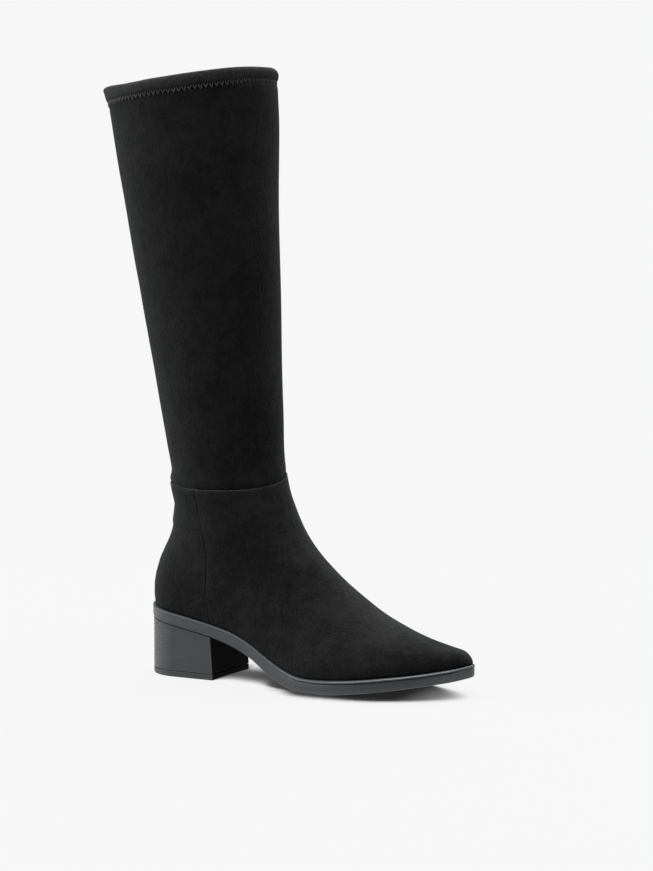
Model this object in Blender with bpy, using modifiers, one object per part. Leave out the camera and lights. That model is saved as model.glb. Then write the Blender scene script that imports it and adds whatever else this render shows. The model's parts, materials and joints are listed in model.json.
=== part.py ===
"""Knee-high boot for the right foot: pointed toe, block heel, stretch shaft and a zip on the inner side.

Everything is worked out in millimetres and turned into metres when a mesh is made. The boot stands on
Z = 0 with its toe along +X and its inner side towards +Y. Sizes along the boot are measured from the
back of the heel, and the origin lies under the middle of the heel.

The foot and the shaft share one surface. A point of it is given by its level, which is the mean height
of the section that it lies on, and by its turn, which runs from 0 at the back of that section over the
outer side to pi at the front and on over the inner side to 2 pi. Seams, edges and the zip are lines on
this surface, and every wall lies at some depth below it.
"""

from math import pi, radians

import bmesh
import bpy
import numpy as np
from mathutils import Matrix, Vector

MM = 0.001

# ---------------------------------------------------------------------------------------------------
# Driving sizes, in millimetres
# ---------------------------------------------------------------------------------------------------
LENGTH = 262.0  # sole, from the back of the heel to the tip of the toe
BALL_WIDTH = 82.0  # upper's lower edge, across the ball of the foot
SEAT_HEIGHT = 52.5  # floor to the sole's top edge at the back of the heel
INSTEP_HEIGHT = 100.0  # floor to the crest of the foot, halfway along
BOOT_HEIGHT = 445.0  # floor to the top edge at the front
BREAST = 64.5  # front face of the heel block
BREAST_RAKE = 2.0  # how much further back the top of that face lies
ORIGIN_X = 34.0  # middle of the heel's tread

FIT = 0.3  # gap between two pieces that touch
UPPER_WALL = 1.6  # suede with its lining and stiffener
SHAFT_WALL = 1.4  # stretch suede with its lining
HEM_WALL = 2.4  # the same, turned over at the top edge
HEM_HEIGHT = 10.5
HEM_PROUD = 1.0
HEM_STEP = 1.0  # height over which the wall steps out to the hem
HEM_ROUND = 1.5  # height over which the hem's top edge turns in
HEM_TURN_IN = 0.7
LAP = 8.0  # how far the shaft reaches down inside the foot
COUNTER_STEP = 0.35  # the heel panel lies this much lower than the vamp that overlaps it
COUNTER_STEP_WIDTH = 1.0
TUCK = 1.0  # how far the wall draws in at the sole
TUCK_HEIGHT = 9.0
HEEL_ROUND = 28.0  # length over which the outline closes at the back
TOE_ROUND = 11.0  # length over which it closes at the tip
UPPER_TIP = 260.0
BAND_PROUD = 1.8  # how far the sole's band stands out past the upper

TOP_PIECE = 4.2  # thickness of the heel's top piece
HEEL_INSET = 0.5  # heel block inside the band
HEEL_EDGE = 0.6  # rounding of the heel's edges
INSOLE_THICKNESS = 2.0
INSOLE_INSET = 2.8

ZIP_BOTTOM, ZIP_TOP = 48.0, 238.0  # levels of the two ends of the zip's slit
SLIT_WIDTH = 6.6
TAPE_WIDTH = 26.0
TAPE_THICKNESS = 0.7
TAPE_END = 5.0  # tape beyond each end of the slit
CHAIN_WIDTH = 4.6
CHAIN_THICKNESS = 1.5
CHAIN_END = 1.0  # chain ends this far inside the slit

SLIDER_LEVEL = 232.0
SLIDER_WIDTH, SLIDER_LENGTH, SLIDER_HEIGHT = 7.4, 11.0, 2.2
SLIDER_LIFT = 0.45  # slider's underside above the shaft
SLIDER_EDGE = 0.6
BRIDGE_WIDTH, BRIDGE_LENGTH, BRIDGE_BAR = 2.2, 7.6, 1.1
BRIDGE_OPENING = 2.2
BRIDGE_FOOT = 0.4  # how far the bridge reaches into the slider's body
PULL_LENGTH, PULL_WIDTH, PULL_TIP_WIDTH = 22.0, 6.4, 4.8
PULL_SHOULDER = 7.0  # where the tab starts to narrow
PULL_THICKNESS = 1.2
PULL_BAR = 1.1
WINDOW_WIDTH, WINDOW_LENGTH = 3.2, 4.4
HINGE_HEIGHT = SLIDER_LIFT + SLIDER_HEIGHT + BRIDGE_OPENING / 2

# Outline of the upper's lower edge. Stations are per cent of LENGTH. Lateral and medial are the
# distances to the outer and the inner side and ridge is how far the crest of the foot lies towards
# the inner side, all per cent of BALL_WIDTH. Fullness is the power of the arch across the foot: 2 is
# an ellipse, and more is squarer.
OUTLINE = (
    # station, lateral, medial, ridge, fullness
    (0, 33.0, 32.0, 0.0, 2.0),
    (9, 34.0, 33.0, 0.0, 2.0),
    (17, 34.0, 32.0, 0.0, 1.9),
    (25, 33.5, 30.0, 0.0, 1.8),
    (36, 34.0, 28.5, 0.0, 1.8),
    (47, 38.0, 33.0, -2.0, 1.9),
    (57, 44.0, 41.0, -3.0, 2.0),
    (65, 47.0, 47.0, -3.0, 2.1),
    (73, 45.5, 48.5, -1.5, 2.2),
    (80, 39.0, 44.5, 0.0, 2.3),
    (88, 28.0, 35.0, 1.5, 2.3),
    (95, 15.5, 23.0, 2.5, 2.2),
    (100, 7.0, 13.0, 3.0, 2.1),
)

# Side view of the sole: its underside and its top edge, per cent of SEAT_HEIGHT.
SOLE_PROFILE = (
    # station, underside, top edge
    (0, 82.0, 100.0),
    (8, 75.5, 93.0),
    (17, 67.5, 85.0),
    (25, 59.0, 76.5),
    (31, 49.5, 68.5),
    (37, 36.0, 55.0),
    (42, 19.5, 40.5),
    (47, 6.5, 28.0),
    (52, 0.0, 20.2),
    (57, 0.0, 18.5),
    (61, 0.0, 19.4),
    (70, 4.5, 23.2),
    (79, 10.5, 28.6),
    (88, 17.5, 34.5),
    (95, 23.5, 40.4),
    (100, 29.5, 45.7),
)

# Crest of the foot in side view, per cent of INSTEP_HEIGHT. Above the throat it runs on inside the leg.
RIDGE = (
    # station, height
    (0, 300.0),
    (30, 180.0),
    (45, 117.0),
    (50, 100.0),
    (55, 88.0),
    (60, 77.0),
    (65, 67.5),
    (71, 56.5),
    (78, 47.0),
    (85, 40.0),
    (92, 35.5),
    (100, 32.0),
)

# Sections of the foot, from the sole up. Back x and front x are per cent of LENGTH and back z per cent
# of INSTEP_HEIGHT; the front of each section lies on the crest. Leg is the share that the leg's ellipse
# has in the section. Half breadth and lean, in millimetres, belong to that ellipse, and roll is how
# much higher the section lies for each millimetre towards the inner side.
FOOT_SECTIONS = (
    # name, back x, back z, front x, leg, half breadth, lean, roll
    ("edge", 0.9, 53.0, 99.24, 0.00, 30.0, 0.0, 0.0),
    ("wall", 0.7, 57.0, 99.0, 0.00, 30.0, 0.0, 0.0),
    ("bulge", 0.6, 62.0, 97.7, 0.02, 30.0, 0.0, 0.0),
    ("toe box", 0.65, 68.0, 93.5, 0.06, 30.0, 0.0, 0.0),
    ("toes", 1.1, 74.0, 86.3, 0.12, 30.0, 0.0, 0.0),
    ("ball", 2.1, 82.0, 76.3, 0.22, 30.5, 0.0, 0.02),
    ("vamp", 3.4, 92.0, 65.6, 0.36, 31.0, 0.5, 0.05),
    ("instep", 5.1, 103.0, 56.5, 0.55, 32.0, 1.0, 0.09),
    ("throat", 6.5, 114.0, 49.2, 0.75, 33.0, 1.8, 0.13),
)

# Sections of the leg, with both heights in per cent of BOOT_HEIGHT.
LEG_SECTIONS = (
    # name, back x, back z, front x, front z, leg, half breadth, lean, roll
    ("ankle", 6.9, 28.5, 43.1, 29.2, 0.92, 34.0, 2.5, 0.17),
    ("seam", 6.3, 32.6, 40.7, 33.3, 1.00, 35.0, 2.5, 0.19),
    ("above seam", 5.3, 40.4, 39.7, 42.0, 1.00, 38.5, 0.5, 0.14),
    ("lower shaft", 1.9, 57.1, 40.1, 59.6, 1.00, 45.5, -6.5, 0.07),
    ("upper shaft", -2.4, 75.7, 40.5, 78.4, 1.00, 52.0, -13.0, 0.05),
    ("top", -8.0, 97.3, 41.0, 100.0, 1.00, 58.0, -18.5, 0.04),
)

# Lines that run up the surface, in degrees from the back. The counter seam is on the outer side and
# the zip on the inner side.
COUNTER_SEAM = (
    # level, degrees
    (38, 57.0),
    (50, 58.0),
    (69, 64.0),
    (87, 69.0),
    (114, 74.0),
    (147, 78.0),
    (440, 80.0),
)
ZIP_LINE = (
    # level, degrees
    (38, 78.0),
    (50, 79.0),
    (66, 83.0),
    (86, 89.5),
    (97, 93.5),
    (119, 101.0),
    (147, 103.0),
    (168, 100.0),
    (211, 97.0),
    (440, 96.0),
)

# Side wall of the sole from the tread to the top edge. Height is the share of the sole's thickness.
# Plain and forefoot are how far the wall stands out past the upper, in millimetres: from the arch
# forward the plain band turns into a side with a groove and a ledge.
SOLE_WALL = (
    # height, plain, forefoot
    (0.00, 0.4, 0.6),
    (0.08, 1.5, 1.7),
    (0.30, BAND_PROUD, 2.1),
    (0.58, BAND_PROUD, 2.1),
    (0.64, BAND_PROUD, 1.2),
    (0.72, BAND_PROUD, 1.2),
    (0.78, BAND_PROUD, 2.7),
    (0.93, BAND_PROUD, 2.7),
    (1.00, 1.3, 2.1),
)
LEDGE_START, LEDGE_FULL = 108.0, 150.0

# Depth of the shaft's outer face below the surface. Above is the distance above the ankle seam.
SHAFT_DEPTH = (
    # above, depth
    (-8.0, 2.25),
    (0.4, 2.25),
    (1.0, 0.7),
    (3.0, 0.35),
    (9.0, 0.0),
)

# Depth of the zip tape's outer face below the surface. It passes inside the lap of the shaft.
TAPE_DEPTH = (
    # above, depth
    (-120.0, 2.3),
    (-16.0, 2.3),
    (-10.0, 3.95),
    (1.0, 3.95),
    (8.0, 2.2),
    (16.0, 1.75),
    (120.0, 1.75),
)


# ---------------------------------------------------------------------------------------------------
# Curves through the tables
# ---------------------------------------------------------------------------------------------------
def curve(places, values):
    """Return a smooth function through the values. Each slope comes from the two rows beside it."""
    places, values = np.array(places, float), np.array(values, float)
    gaps = np.diff(places)
    slopes = np.diff(values) / gaps
    tangents = np.empty(len(values))
    tangents[1:-1] = (slopes[:-1] * gaps[1:] + slopes[1:] * gaps[:-1]) / (gaps[:-1] + gaps[1:])
    tangents[1:-1][slopes[:-1] * slopes[1:] <= 0] = 0
    tangents[0] = 1.5 * slopes[0] - 0.5 * tangents[1]
    tangents[-1] = 1.5 * slopes[-1] - 0.5 * tangents[-2]

    def at(place):
        place = np.clip(place, places[0], places[-1])
        row = np.clip(np.searchsorted(places, place, side="right") - 1, 0, len(gaps) - 1)
        part = (place - places[row]) / gaps[row]
        rest = 1 - part
        ends = values[row] * (1 + 2 * part) * rest**2 + values[row + 1] * (3 - 2 * part) * part**2
        return ends + gaps[row] * part * rest * (tangents[row] * rest - tangents[row + 1] * part)

    return at


def column(table, number, scale=1.0):
    return [row[number] * scale for row in table]


def along_foot(table, number, unit):
    """Return a curve over the distance from the heel, for a table of per cents of the unit."""
    return curve(column(table, 0, LENGTH / 100), column(table, number, unit / 100))


def ramp(value, start, full):
    """Return 0 up to the start, 1 from full on and a smooth rise between them."""
    part = np.clip((value - start) / (full - start), 0, 1)
    return part * part * (3 - 2 * part)


def closing(distance, length):
    """Return the round end of an outline: 0 at its tip, rising to 1 over the length."""
    part = np.clip(distance / length, 0, 1)
    return np.sqrt(1 - (1 - part) ** 2)


lateral_edge = along_foot(OUTLINE, 1, BALL_WIDTH)
medial_edge = along_foot(OUTLINE, 2, BALL_WIDTH)
ridge_side = along_foot(OUTLINE, 3, BALL_WIDTH)
fullness = along_foot(OUTLINE, 4, 100)
sole_underside = along_foot(SOLE_PROFILE, 1, SEAT_HEIGHT)
sole_top = along_foot(SOLE_PROFILE, 2, SEAT_HEIGHT)
ridge_body = along_foot(RIDGE, 1, INSTEP_HEIGHT)


def seat(x):
    """Return the height of the upper's lower edge, just clear of the sole."""
    return sole_top(x) + FIT


def ridge(x):
    """Return the height of the foot's crest, which comes down round at the tip of the toe."""
    return seat(x) + (ridge_body(x) - seat(x)) * closing(UPPER_TIP - x, TOE_ROUND)


# ---------------------------------------------------------------------------------------------------
# The surface that the foot and the shaft share
# ---------------------------------------------------------------------------------------------------
def section_rows():
    """Return every section in millimetres: back x, back z, front x, front z, leg, breadth, lean, roll."""
    rows = []
    for _, back_x, back_z, front_x, *leg_form in FOOT_SECTIONS:
        front_x = min(front_x * LENGTH / 100, UPPER_TIP)
        back_z = max(back_z * INSTEP_HEIGHT / 100, float(seat(back_x * LENGTH / 100)))
        rows.append((back_x * LENGTH / 100, back_z, front_x, float(ridge(front_x)), *leg_form))
    for _, back_x, back_z, front_x, front_z, *leg_form in LEG_SECTIONS:
        heights = back_z * BOOT_HEIGHT / 100, front_z * BOOT_HEIGHT / 100
        rows.append((back_x * LENGTH / 100, heights[0], front_x * LENGTH / 100, heights[1], *leg_form))
    return rows


SECTIONS = section_rows()
LEVELS = [(back_z + front_z) / 2 for _, back_z, _, front_z, *_ in SECTIONS]
SECTION_CURVES = [curve(LEVELS, column(SECTIONS, number)) for number in range(8)]
EDGE_LEVEL, TOP_LEVEL = LEVELS[0], LEVELS[-1]
SEAM_LEVEL = LEVELS[len(FOOT_SECTIONS) + 1]

counter_degrees = curve(column(COUNTER_SEAM, 0), column(COUNTER_SEAM, 1))
zip_degrees = curve(column(ZIP_LINE, 0), column(ZIP_LINE, 1))


def surface(level, turn):
    """Return points of the outer surface at one level, in millimetres."""
    back_x, back_z, front_x, front_z, leg, half_leg, lean, roll = (
        float(section(level)) for section in SECTION_CURVES
    )
    turn = np.mod(turn, 2 * pi)
    share = (1 - np.cos(turn)) / 2
    x = back_x + (front_x - back_x) * share

    rise_back, rise_front = back_z - seat(back_x), front_z - seat(front_x)
    z_foot = seat(x) + rise_back + (rise_front - rise_back) * share
    z_leg = back_z + (front_z - back_z) * share
    z = z_foot + (z_leg - z_foot) * leg

    height = np.clip((z - seat(x)) / np.maximum(ridge(x) - seat(x), 0.5), 0, 1)
    arch = np.sqrt(1 - height ** fullness(x))
    middle = (medial_edge(x) - lateral_edge(x)) / 2
    tuck = TUCK * np.clip(1 - (z - seat(x)) / TUCK_HEIGHT, 0, 1) ** 2
    half_foot = (medial_edge(x) + lateral_edge(x)) / 2 - tuck
    half_foot = half_foot * arch * closing(x - back_x, HEEL_ROUND) * closing(UPPER_TIP - x, TOE_ROUND)
    y_foot = middle + (ridge_side(x) - middle) * height - np.where(turn <= pi, 1, -1) * half_foot
    y_leg = lean - half_leg * np.sin(turn)
    y = y_foot + (y_leg - y_foot) * leg
    return np.stack([x, y, z + roll * (y - lean)], axis=-1)


def directions(level, turn):
    """Return the length of section per radian, the direction up the surface and its outward normal."""
    small_turn, small_level = 0.004, 0.25
    along = surface(level, turn + small_turn) - surface(level, turn - small_turn)
    low = max(level - small_level, EDGE_LEVEL)
    high = min(level + small_level, TOP_LEVEL)
    up = surface(high, turn) - surface(low, turn)
    speed = np.linalg.norm(along, axis=-1, keepdims=True) / (2 * small_turn)
    normal = np.cross(along, up)
    normal /= np.linalg.norm(normal, axis=-1, keepdims=True)
    return speed, up, normal


def below(level, turn, depth):
    """Return points at a depth below the surface."""
    return surface(level, turn) - directions(level, turn)[2] * np.reshape(depth, (-1, 1))


def zip_turn(level, aside=0.0):
    """Return the turn of the zip's middle line, or of a line that many millimetres behind it."""
    middle = 2 * pi - radians(float(zip_degrees(level)))
    speed = directions(level, np.array([middle]))[0][0, 0]
    return middle + aside / speed


# ---------------------------------------------------------------------------------------------------
# Meshes, objects and materials
# ---------------------------------------------------------------------------------------------------
def clear_scene():
    for scene_object in list(bpy.data.objects):
        bpy.data.objects.remove(scene_object, do_unlink=True)


def new_collection(name):
    collection = bpy.data.collections.new(name)
    bpy.context.scene.collection.children.link(collection)
    return collection


def new_material(name, colour, roughness, metallic=0.0):
    """Return a plain material. The colour is linear."""
    material = bpy.data.materials.new(name)
    material.use_nodes = True
    shader = material.node_tree.nodes["Principled BSDF"]
    shader.inputs["Base Color"].default_value = (*colour, 1.0)
    shader.inputs["Roughness"].default_value = roughness
    shader.inputs["Metallic"].default_value = metallic
    return material


def mesh_object(name, points, faces, collection, material):
    """Return an object with this mesh. The points are in millimetres, from the back of the heel."""
    mesh = bpy.data.meshes.new(name)
    mesh.from_pydata([tuple(point) for point in (np.array(points) - (ORIGIN_X, 0, 0)) * MM], [], faces)
    mesh.materials.append(material)
    new = bpy.data.objects.new(name, mesh)
    collection.objects.link(new)
    return new


def smooth(piece, angle=35.0):
    piece.data.shade_smooth()
    piece.data.set_sharp_from_angle(angle=radians(angle))


def strip_faces(rows, columns, closed, left_out=()):
    """Return the quads of a grid of points, outward for rows that rise and columns that turn."""
    faces = []
    for row in range(rows - 1):
        for start in range(columns if closed else columns - 1):
            if (row, start) in left_out:
                continue
            low, high = row * columns, (row + 1) * columns
            end = (start + 1) % columns
            faces.append((low + start, low + end, high + end, high + start))
    return faces


def ladder_faces(pairs, first, upward):
    """Return a cap that joins each pair of points of a ring to the next pair."""
    faces = []
    for (left, right), (next_left, next_right) in zip(pairs[:-1], pairs[1:]):
        ring = list(dict.fromkeys([left, next_left, next_right, right]))
        face = tuple(first + point for point in ring)
        faces.append(face if upward else face[::-1])
    return faces


def loft(name, rings, pairs, collection, material):
    """Return a closed solid through rings that rise, with a ladder cap at each end."""
    columns = len(rings[0])
    faces = strip_faces(len(rings), columns, closed=True)
    faces += ladder_faces(pairs, 0, upward=False)
    faces += ladder_faces(pairs, (len(rings) - 1) * columns, upward=True)
    solid = mesh_object(name, np.concatenate(rings), faces, collection, material)
    turn_outward(solid)
    return solid


def turn_outward(solid):
    sheet = bmesh.new()
    sheet.from_mesh(solid.data)
    bmesh.ops.recalc_face_normals(sheet, faces=sheet.faces)
    sheet.to_mesh(solid.data)
    sheet.free()


def add_wall(sheet, thickness):
    """Give an open surface its wall, which grows inwards."""
    wall = sheet.modifiers.new("wall", "SOLIDIFY")
    wall.thickness = thickness * MM
    wall.offset = -1
    wall.use_quality_normals = True
    return wall


# ---------------------------------------------------------------------------------------------------
# Foot and shaft
# ---------------------------------------------------------------------------------------------------
HEEL_PANEL_COLUMNS = 10
OUTER_VAMP_COLUMNS = 17
INNER_VAMP_COLUMNS = 14
INNER_HEEL_COLUMNS = 12
SLIT_COLUMN = HEEL_PANEL_COLUMNS + OUTER_VAMP_COLUMNS + INNER_VAMP_COLUMNS - 1


def row_turns(level):
    """Return the turns of one row's columns, which follow the counter seam and the zip."""
    seam = radians(float(counter_degrees(level)))
    half_step = COUNTER_STEP_WIDTH / 2 / directions(level, np.array([seam]))[0][0, 0]
    heel_panel = np.linspace(0, seam - half_step, HEEL_PANEL_COLUMNS)
    outer_vamp = np.linspace(seam + half_step, pi, OUTER_VAMP_COLUMNS)
    inner_vamp = np.linspace(pi, zip_turn(level, -SLIT_WIDTH / 2), INNER_VAMP_COLUMNS + 1)[1:]
    inner_heel = np.linspace(zip_turn(level, SLIT_WIDTH / 2), 2 * pi, INNER_HEEL_COLUMNS + 1)[:-1]
    return np.concatenate([heel_panel, outer_vamp, inner_vamp, inner_heel])


def heel_panel_share():
    """Return 1 for the columns of the panel round the heel and 0 for those of the vamp."""
    share = np.zeros(SLIT_COLUMN + 1 + INNER_HEEL_COLUMNS)
    share[:HEEL_PANEL_COLUMNS] = 1
    share[SLIT_COLUMN + 1 :] = 1
    return share


def surface_sheet(name, levels, depths, collection, material):
    """Return an open sheet of the shared surface with the zip's slit left out of it."""
    rows = [below(level, row_turns(level), depth) for level, depth in zip(levels, depths)]
    slit_rows = [
        row for row, level in enumerate(levels[:-1]) if level >= ZIP_BOTTOM and levels[row + 1] <= ZIP_TOP
    ]
    left_out = {(row, SLIT_COLUMN) for row in slit_rows}
    faces = strip_faces(len(rows), len(rows[0]), closed=True, left_out=left_out)
    return mesh_object(name, np.concatenate(rows), faces, collection, material)


def foot_levels():
    """Return the rows of the foot: each section, one between each two, and the end of the slit."""
    foot = LEVELS[: len(FOOT_SECTIONS) + 2]
    between = [(low + high) / 2 for low, high in zip(foot[:-1], foot[1:])]
    return sorted([*foot, *between, ZIP_BOTTOM])


def build_upper(collection, material):
    levels = foot_levels()
    depth = COUNTER_STEP * heel_panel_share()
    upper = surface_sheet("upper", levels, [depth] * len(levels), collection, material)
    add_wall(upper, UPPER_WALL)
    smooth(upper)


def build_shaft(collection, material):
    depth_above = curve(column(SHAFT_DEPTH, 0), column(SHAFT_DEPTH, 1))
    bends = [SEAM_LEVEL + above for above, _ in SHAFT_DEPTH]
    hem = TOP_LEVEL - HEM_HEIGHT
    to_zip_top = np.linspace(bends[-1], ZIP_TOP, 4)[1:]
    to_hem = np.linspace(ZIP_TOP, hem - HEM_STEP, 7)[1:]
    plain_levels = [*bends, *to_zip_top, *to_hem]
    hem_levels = [hem, TOP_LEVEL - HEM_ROUND, TOP_LEVEL]
    depths = [depth_above(level - SEAM_LEVEL) for level in plain_levels]
    depths += [-HEM_PROUD, -HEM_PROUD, HEM_TURN_IN - HEM_PROUD]
    columns = len(row_turns(SEAM_LEVEL))
    depths = [np.full(columns, depth) for depth in depths]
    shaft = surface_sheet("shaft", plain_levels + hem_levels, depths, collection, material)

    wall = add_wall(shaft, HEM_WALL)
    wall.vertex_group = shaft.vertex_groups.new(name="hem").name
    wall.thickness_vertex_group = SHAFT_WALL / HEM_WALL
    hem_points = range(len(plain_levels) * columns, len(shaft.data.vertices))
    shaft.vertex_groups["hem"].add(list(hem_points), 1.0, "REPLACE")
    smooth(shaft)


# ---------------------------------------------------------------------------------------------------
# Sole, heel and insole
# ---------------------------------------------------------------------------------------------------
SOLE_COLUMNS = 72
HEEL_COLUMNS = 25


def outline(turn, outset):
    """Return x and y of the upper's lower edge, moved outwards by the outset."""
    step = 0.004
    ahead, behind = surface(EDGE_LEVEL, turn + step), surface(EDGE_LEVEL, turn - step)
    along = (ahead - behind)[:, :2]
    outward = np.stack([along[:, 1], -along[:, 0]], axis=-1)
    outward /= np.linalg.norm(outward, axis=-1, keepdims=True)
    return surface(EDGE_LEVEL, turn)[:, :2] + outward * np.reshape(outset, (-1, 1))


def sole_point_rows(turn, wall_rows):
    """Return the rings of the sole's side wall."""
    rings = []
    forefoot = ramp(outline(turn, np.zeros(len(turn)))[:, 0], LEDGE_START, LEDGE_FULL)
    for share, plain, ledge in wall_rows:
        plan = outline(turn, plain + (ledge - plain) * forefoot)
        low, high = sole_underside(plan[:, 0]), sole_top(plan[:, 0])
        rings.append(np.column_stack([plan, low + (high - low) * share]))
    return rings


def ring_turns(count):
    return np.linspace(0, 2 * pi, count, endpoint=False)


def ring_pairs(count):
    """Pair the points of a ring that starts at the back, one on each side of the foot."""
    return [(point, (count - point) % count) for point in range(count // 2 + 1)]


def build_outsole(collection, material):
    rings = sole_point_rows(ring_turns(SOLE_COLUMNS), SOLE_WALL)
    outsole = loft("outsole", rings, ring_pairs(SOLE_COLUMNS), collection, material)
    smooth(outsole)


def build_insole(collection, material):
    plan = outline(ring_turns(SOLE_COLUMNS), np.full(SOLE_COLUMNS, -INSOLE_INSET))
    low = sole_top(plan[:, 0]) + FIT
    rings = [np.column_stack([plan, low]), np.column_stack([plan, low + INSOLE_THICKNESS])]
    insole = loft("insole", rings, ring_pairs(SOLE_COLUMNS), collection, material)
    smooth(insole)


def heel_ring(height_at, breast):
    """Return a ring of the heel, from the outer corner of its breast round the back to the inner one."""
    back, tip = outline(np.array([0.0, pi]), np.zeros(2))[:, 0]
    corner = np.arccos(1 - 2 * (breast - back) / (tip - back))
    turn = np.linspace(corner, -corner, HEEL_COLUMNS)
    plan = outline(turn, np.full(HEEL_COLUMNS, BAND_PROUD - HEEL_INSET))
    plan[[0, -1], 0] = breast
    return np.column_stack([plan, height_at(plan[:, 0])])


def build_heel_piece(name, bottom, top, collection, material):
    pairs = [(point, HEEL_COLUMNS - 1 - point) for point in range(HEEL_COLUMNS // 2 + 1)]
    piece = loft(name, [bottom, top], pairs, collection, material)
    edges = piece.modifiers.new("rounded edges", "BEVEL")
    edges.width = HEEL_EDGE * MM
    edges.segments = 2
    edges.limit_method = "ANGLE"
    edges.angle_limit = radians(50)
    smooth(piece)


def build_heel(collection, block_material, tread_material):
    def under_sole(x):
        return sole_underside(x) - FIT

    def flat(height):
        return lambda x: np.full(np.shape(x), height)

    block_bottom = heel_ring(flat(TOP_PIECE + FIT), BREAST)
    block_top = heel_ring(under_sole, BREAST - BREAST_RAKE)
    build_heel_piece("heel_block", block_bottom, block_top, collection, block_material)
    tread = heel_ring(flat(0.0), BREAST)
    top_piece_top = heel_ring(flat(TOP_PIECE), BREAST)
    build_heel_piece("heel_top_piece", tread, top_piece_top, collection, tread_material)


# ---------------------------------------------------------------------------------------------------
# Zip
# ---------------------------------------------------------------------------------------------------
tape_depth_above = curve(column(TAPE_DEPTH, 0), column(TAPE_DEPTH, 1))


def tape_depth(level):
    return float(tape_depth_above(level - SEAM_LEVEL))


def zip_strip(name, levels, asides, lift, thickness, collection, material):
    """Return a strip that follows the zip, at a height above the tape's outer face."""
    rows = []
    for level in levels:
        turns = np.array([zip_turn(level, aside) for aside in asides])
        rows.append(below(level, turns, np.full(len(turns), tape_depth(level) - lift)))
    faces = strip_faces(len(rows), len(asides), closed=False)
    strip = mesh_object(name, np.concatenate(rows), faces, collection, material)
    add_wall(strip, thickness)
    smooth(strip)


def zip_levels(start, end):
    """Return rows close enough for the tape to follow the ankle."""
    bends = [SEAM_LEVEL + above for above, _ in TAPE_DEPTH]
    evenly = np.linspace(start, end, 22)
    return sorted([*evenly, *(bend for bend in bends if start < bend < end)])


def build_zip_strips(collection, tape_material, chain_material):
    tape_asides = np.linspace(-TAPE_WIDTH / 2, TAPE_WIDTH / 2, 5)
    tape_levels = zip_levels(ZIP_BOTTOM - TAPE_END, ZIP_TOP + TAPE_END)
    zip_strip("zip_tape", tape_levels, tape_asides, 0.0, TAPE_THICKNESS, collection, tape_material)
    chain_asides = np.linspace(-CHAIN_WIDTH / 2, CHAIN_WIDTH / 2, 3)
    lift = FIT + CHAIN_THICKNESS
    chain_levels = zip_levels(ZIP_BOTTOM + CHAIN_END, ZIP_TOP - CHAIN_END)
    zip_strip("zip_chain", chain_levels, chain_asides, lift, CHAIN_THICKNESS, collection, chain_material)


def zip_frame(level):
    """Return the placement of the slider: X across the zip, Y up along it and Z out of the boot."""

    def path(at):
        return surface(at, np.array([zip_turn(at)]))[0]

    reach = SLIDER_LENGTH / 2
    up = Vector(path(level + reach) - path(level - reach)).normalized()
    outward = Vector(directions(level, np.array([zip_turn(level)]))[2][0])
    across = up.cross(outward).normalized()
    outward = across.cross(up)
    place = Matrix((across, up, outward)).transposed().to_4x4()
    place.translation = (Vector(path(level)) - Vector((ORIGIN_X, 0, 0))) * MM
    return place


def box(name, size, centre, place, collection, material=None):
    """Return a box of this size, in millimetres, centred at a point of the placement."""
    bpy.ops.mesh.primitive_cube_add(size=1.0)
    new = bpy.context.active_object
    new.name = new.data.name = name
    for owner in list(new.users_collection):
        owner.objects.unlink(new)
    collection.objects.link(new)
    new.data.transform(Matrix.Diagonal((*(length * MM for length in size), 1.0)))
    new.matrix_world = place @ Matrix.Translation(Vector(centre) * MM)
    if material is not None:
        new.data.materials.append(material)
    return new


def combine(solid, other, operation):
    """Add or cut another solid, which stays as a hidden helper."""
    boolean = solid.modifiers.new(f"{operation.lower()} {other.name}", "BOOLEAN")
    boolean.operation = operation
    boolean.object = other
    other.hide_render = True
    other.display_type = "WIRE"


def build_slider(place, collection, helpers, material):
    """Make the slider's body with the bridge that holds the pull tab."""
    base = SLIDER_LIFT + SLIDER_HEIGHT
    size = (SLIDER_WIDTH, SLIDER_LENGTH, SLIDER_HEIGHT)
    middle = (0, 0, SLIDER_LIFT + SLIDER_HEIGHT / 2)
    slider = box("zip_slider", size, middle, place, collection, material)
    corners = slider.modifiers.new("rounded corners", "BEVEL")
    corners.width = SLIDER_EDGE * MM
    corners.segments = 2

    bridge_top = base + BRIDGE_OPENING + BRIDGE_BAR
    bridge_bottom = base - BRIDGE_FOOT
    size = (BRIDGE_WIDTH, BRIDGE_LENGTH, bridge_top - bridge_bottom)
    bridge = box("slider_bridge", size, (0, 0, (bridge_top + bridge_bottom) / 2), place, helpers)
    size = (2 * BRIDGE_WIDTH, BRIDGE_LENGTH - 2 * BRIDGE_BAR, BRIDGE_OPENING)
    opening = box("bridge_opening", size, (0, 0, base + BRIDGE_OPENING / 2), place, helpers)
    combine(slider, bridge, "UNION")
    combine(slider, opening, "DIFFERENCE")
    smooth(slider)


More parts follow.
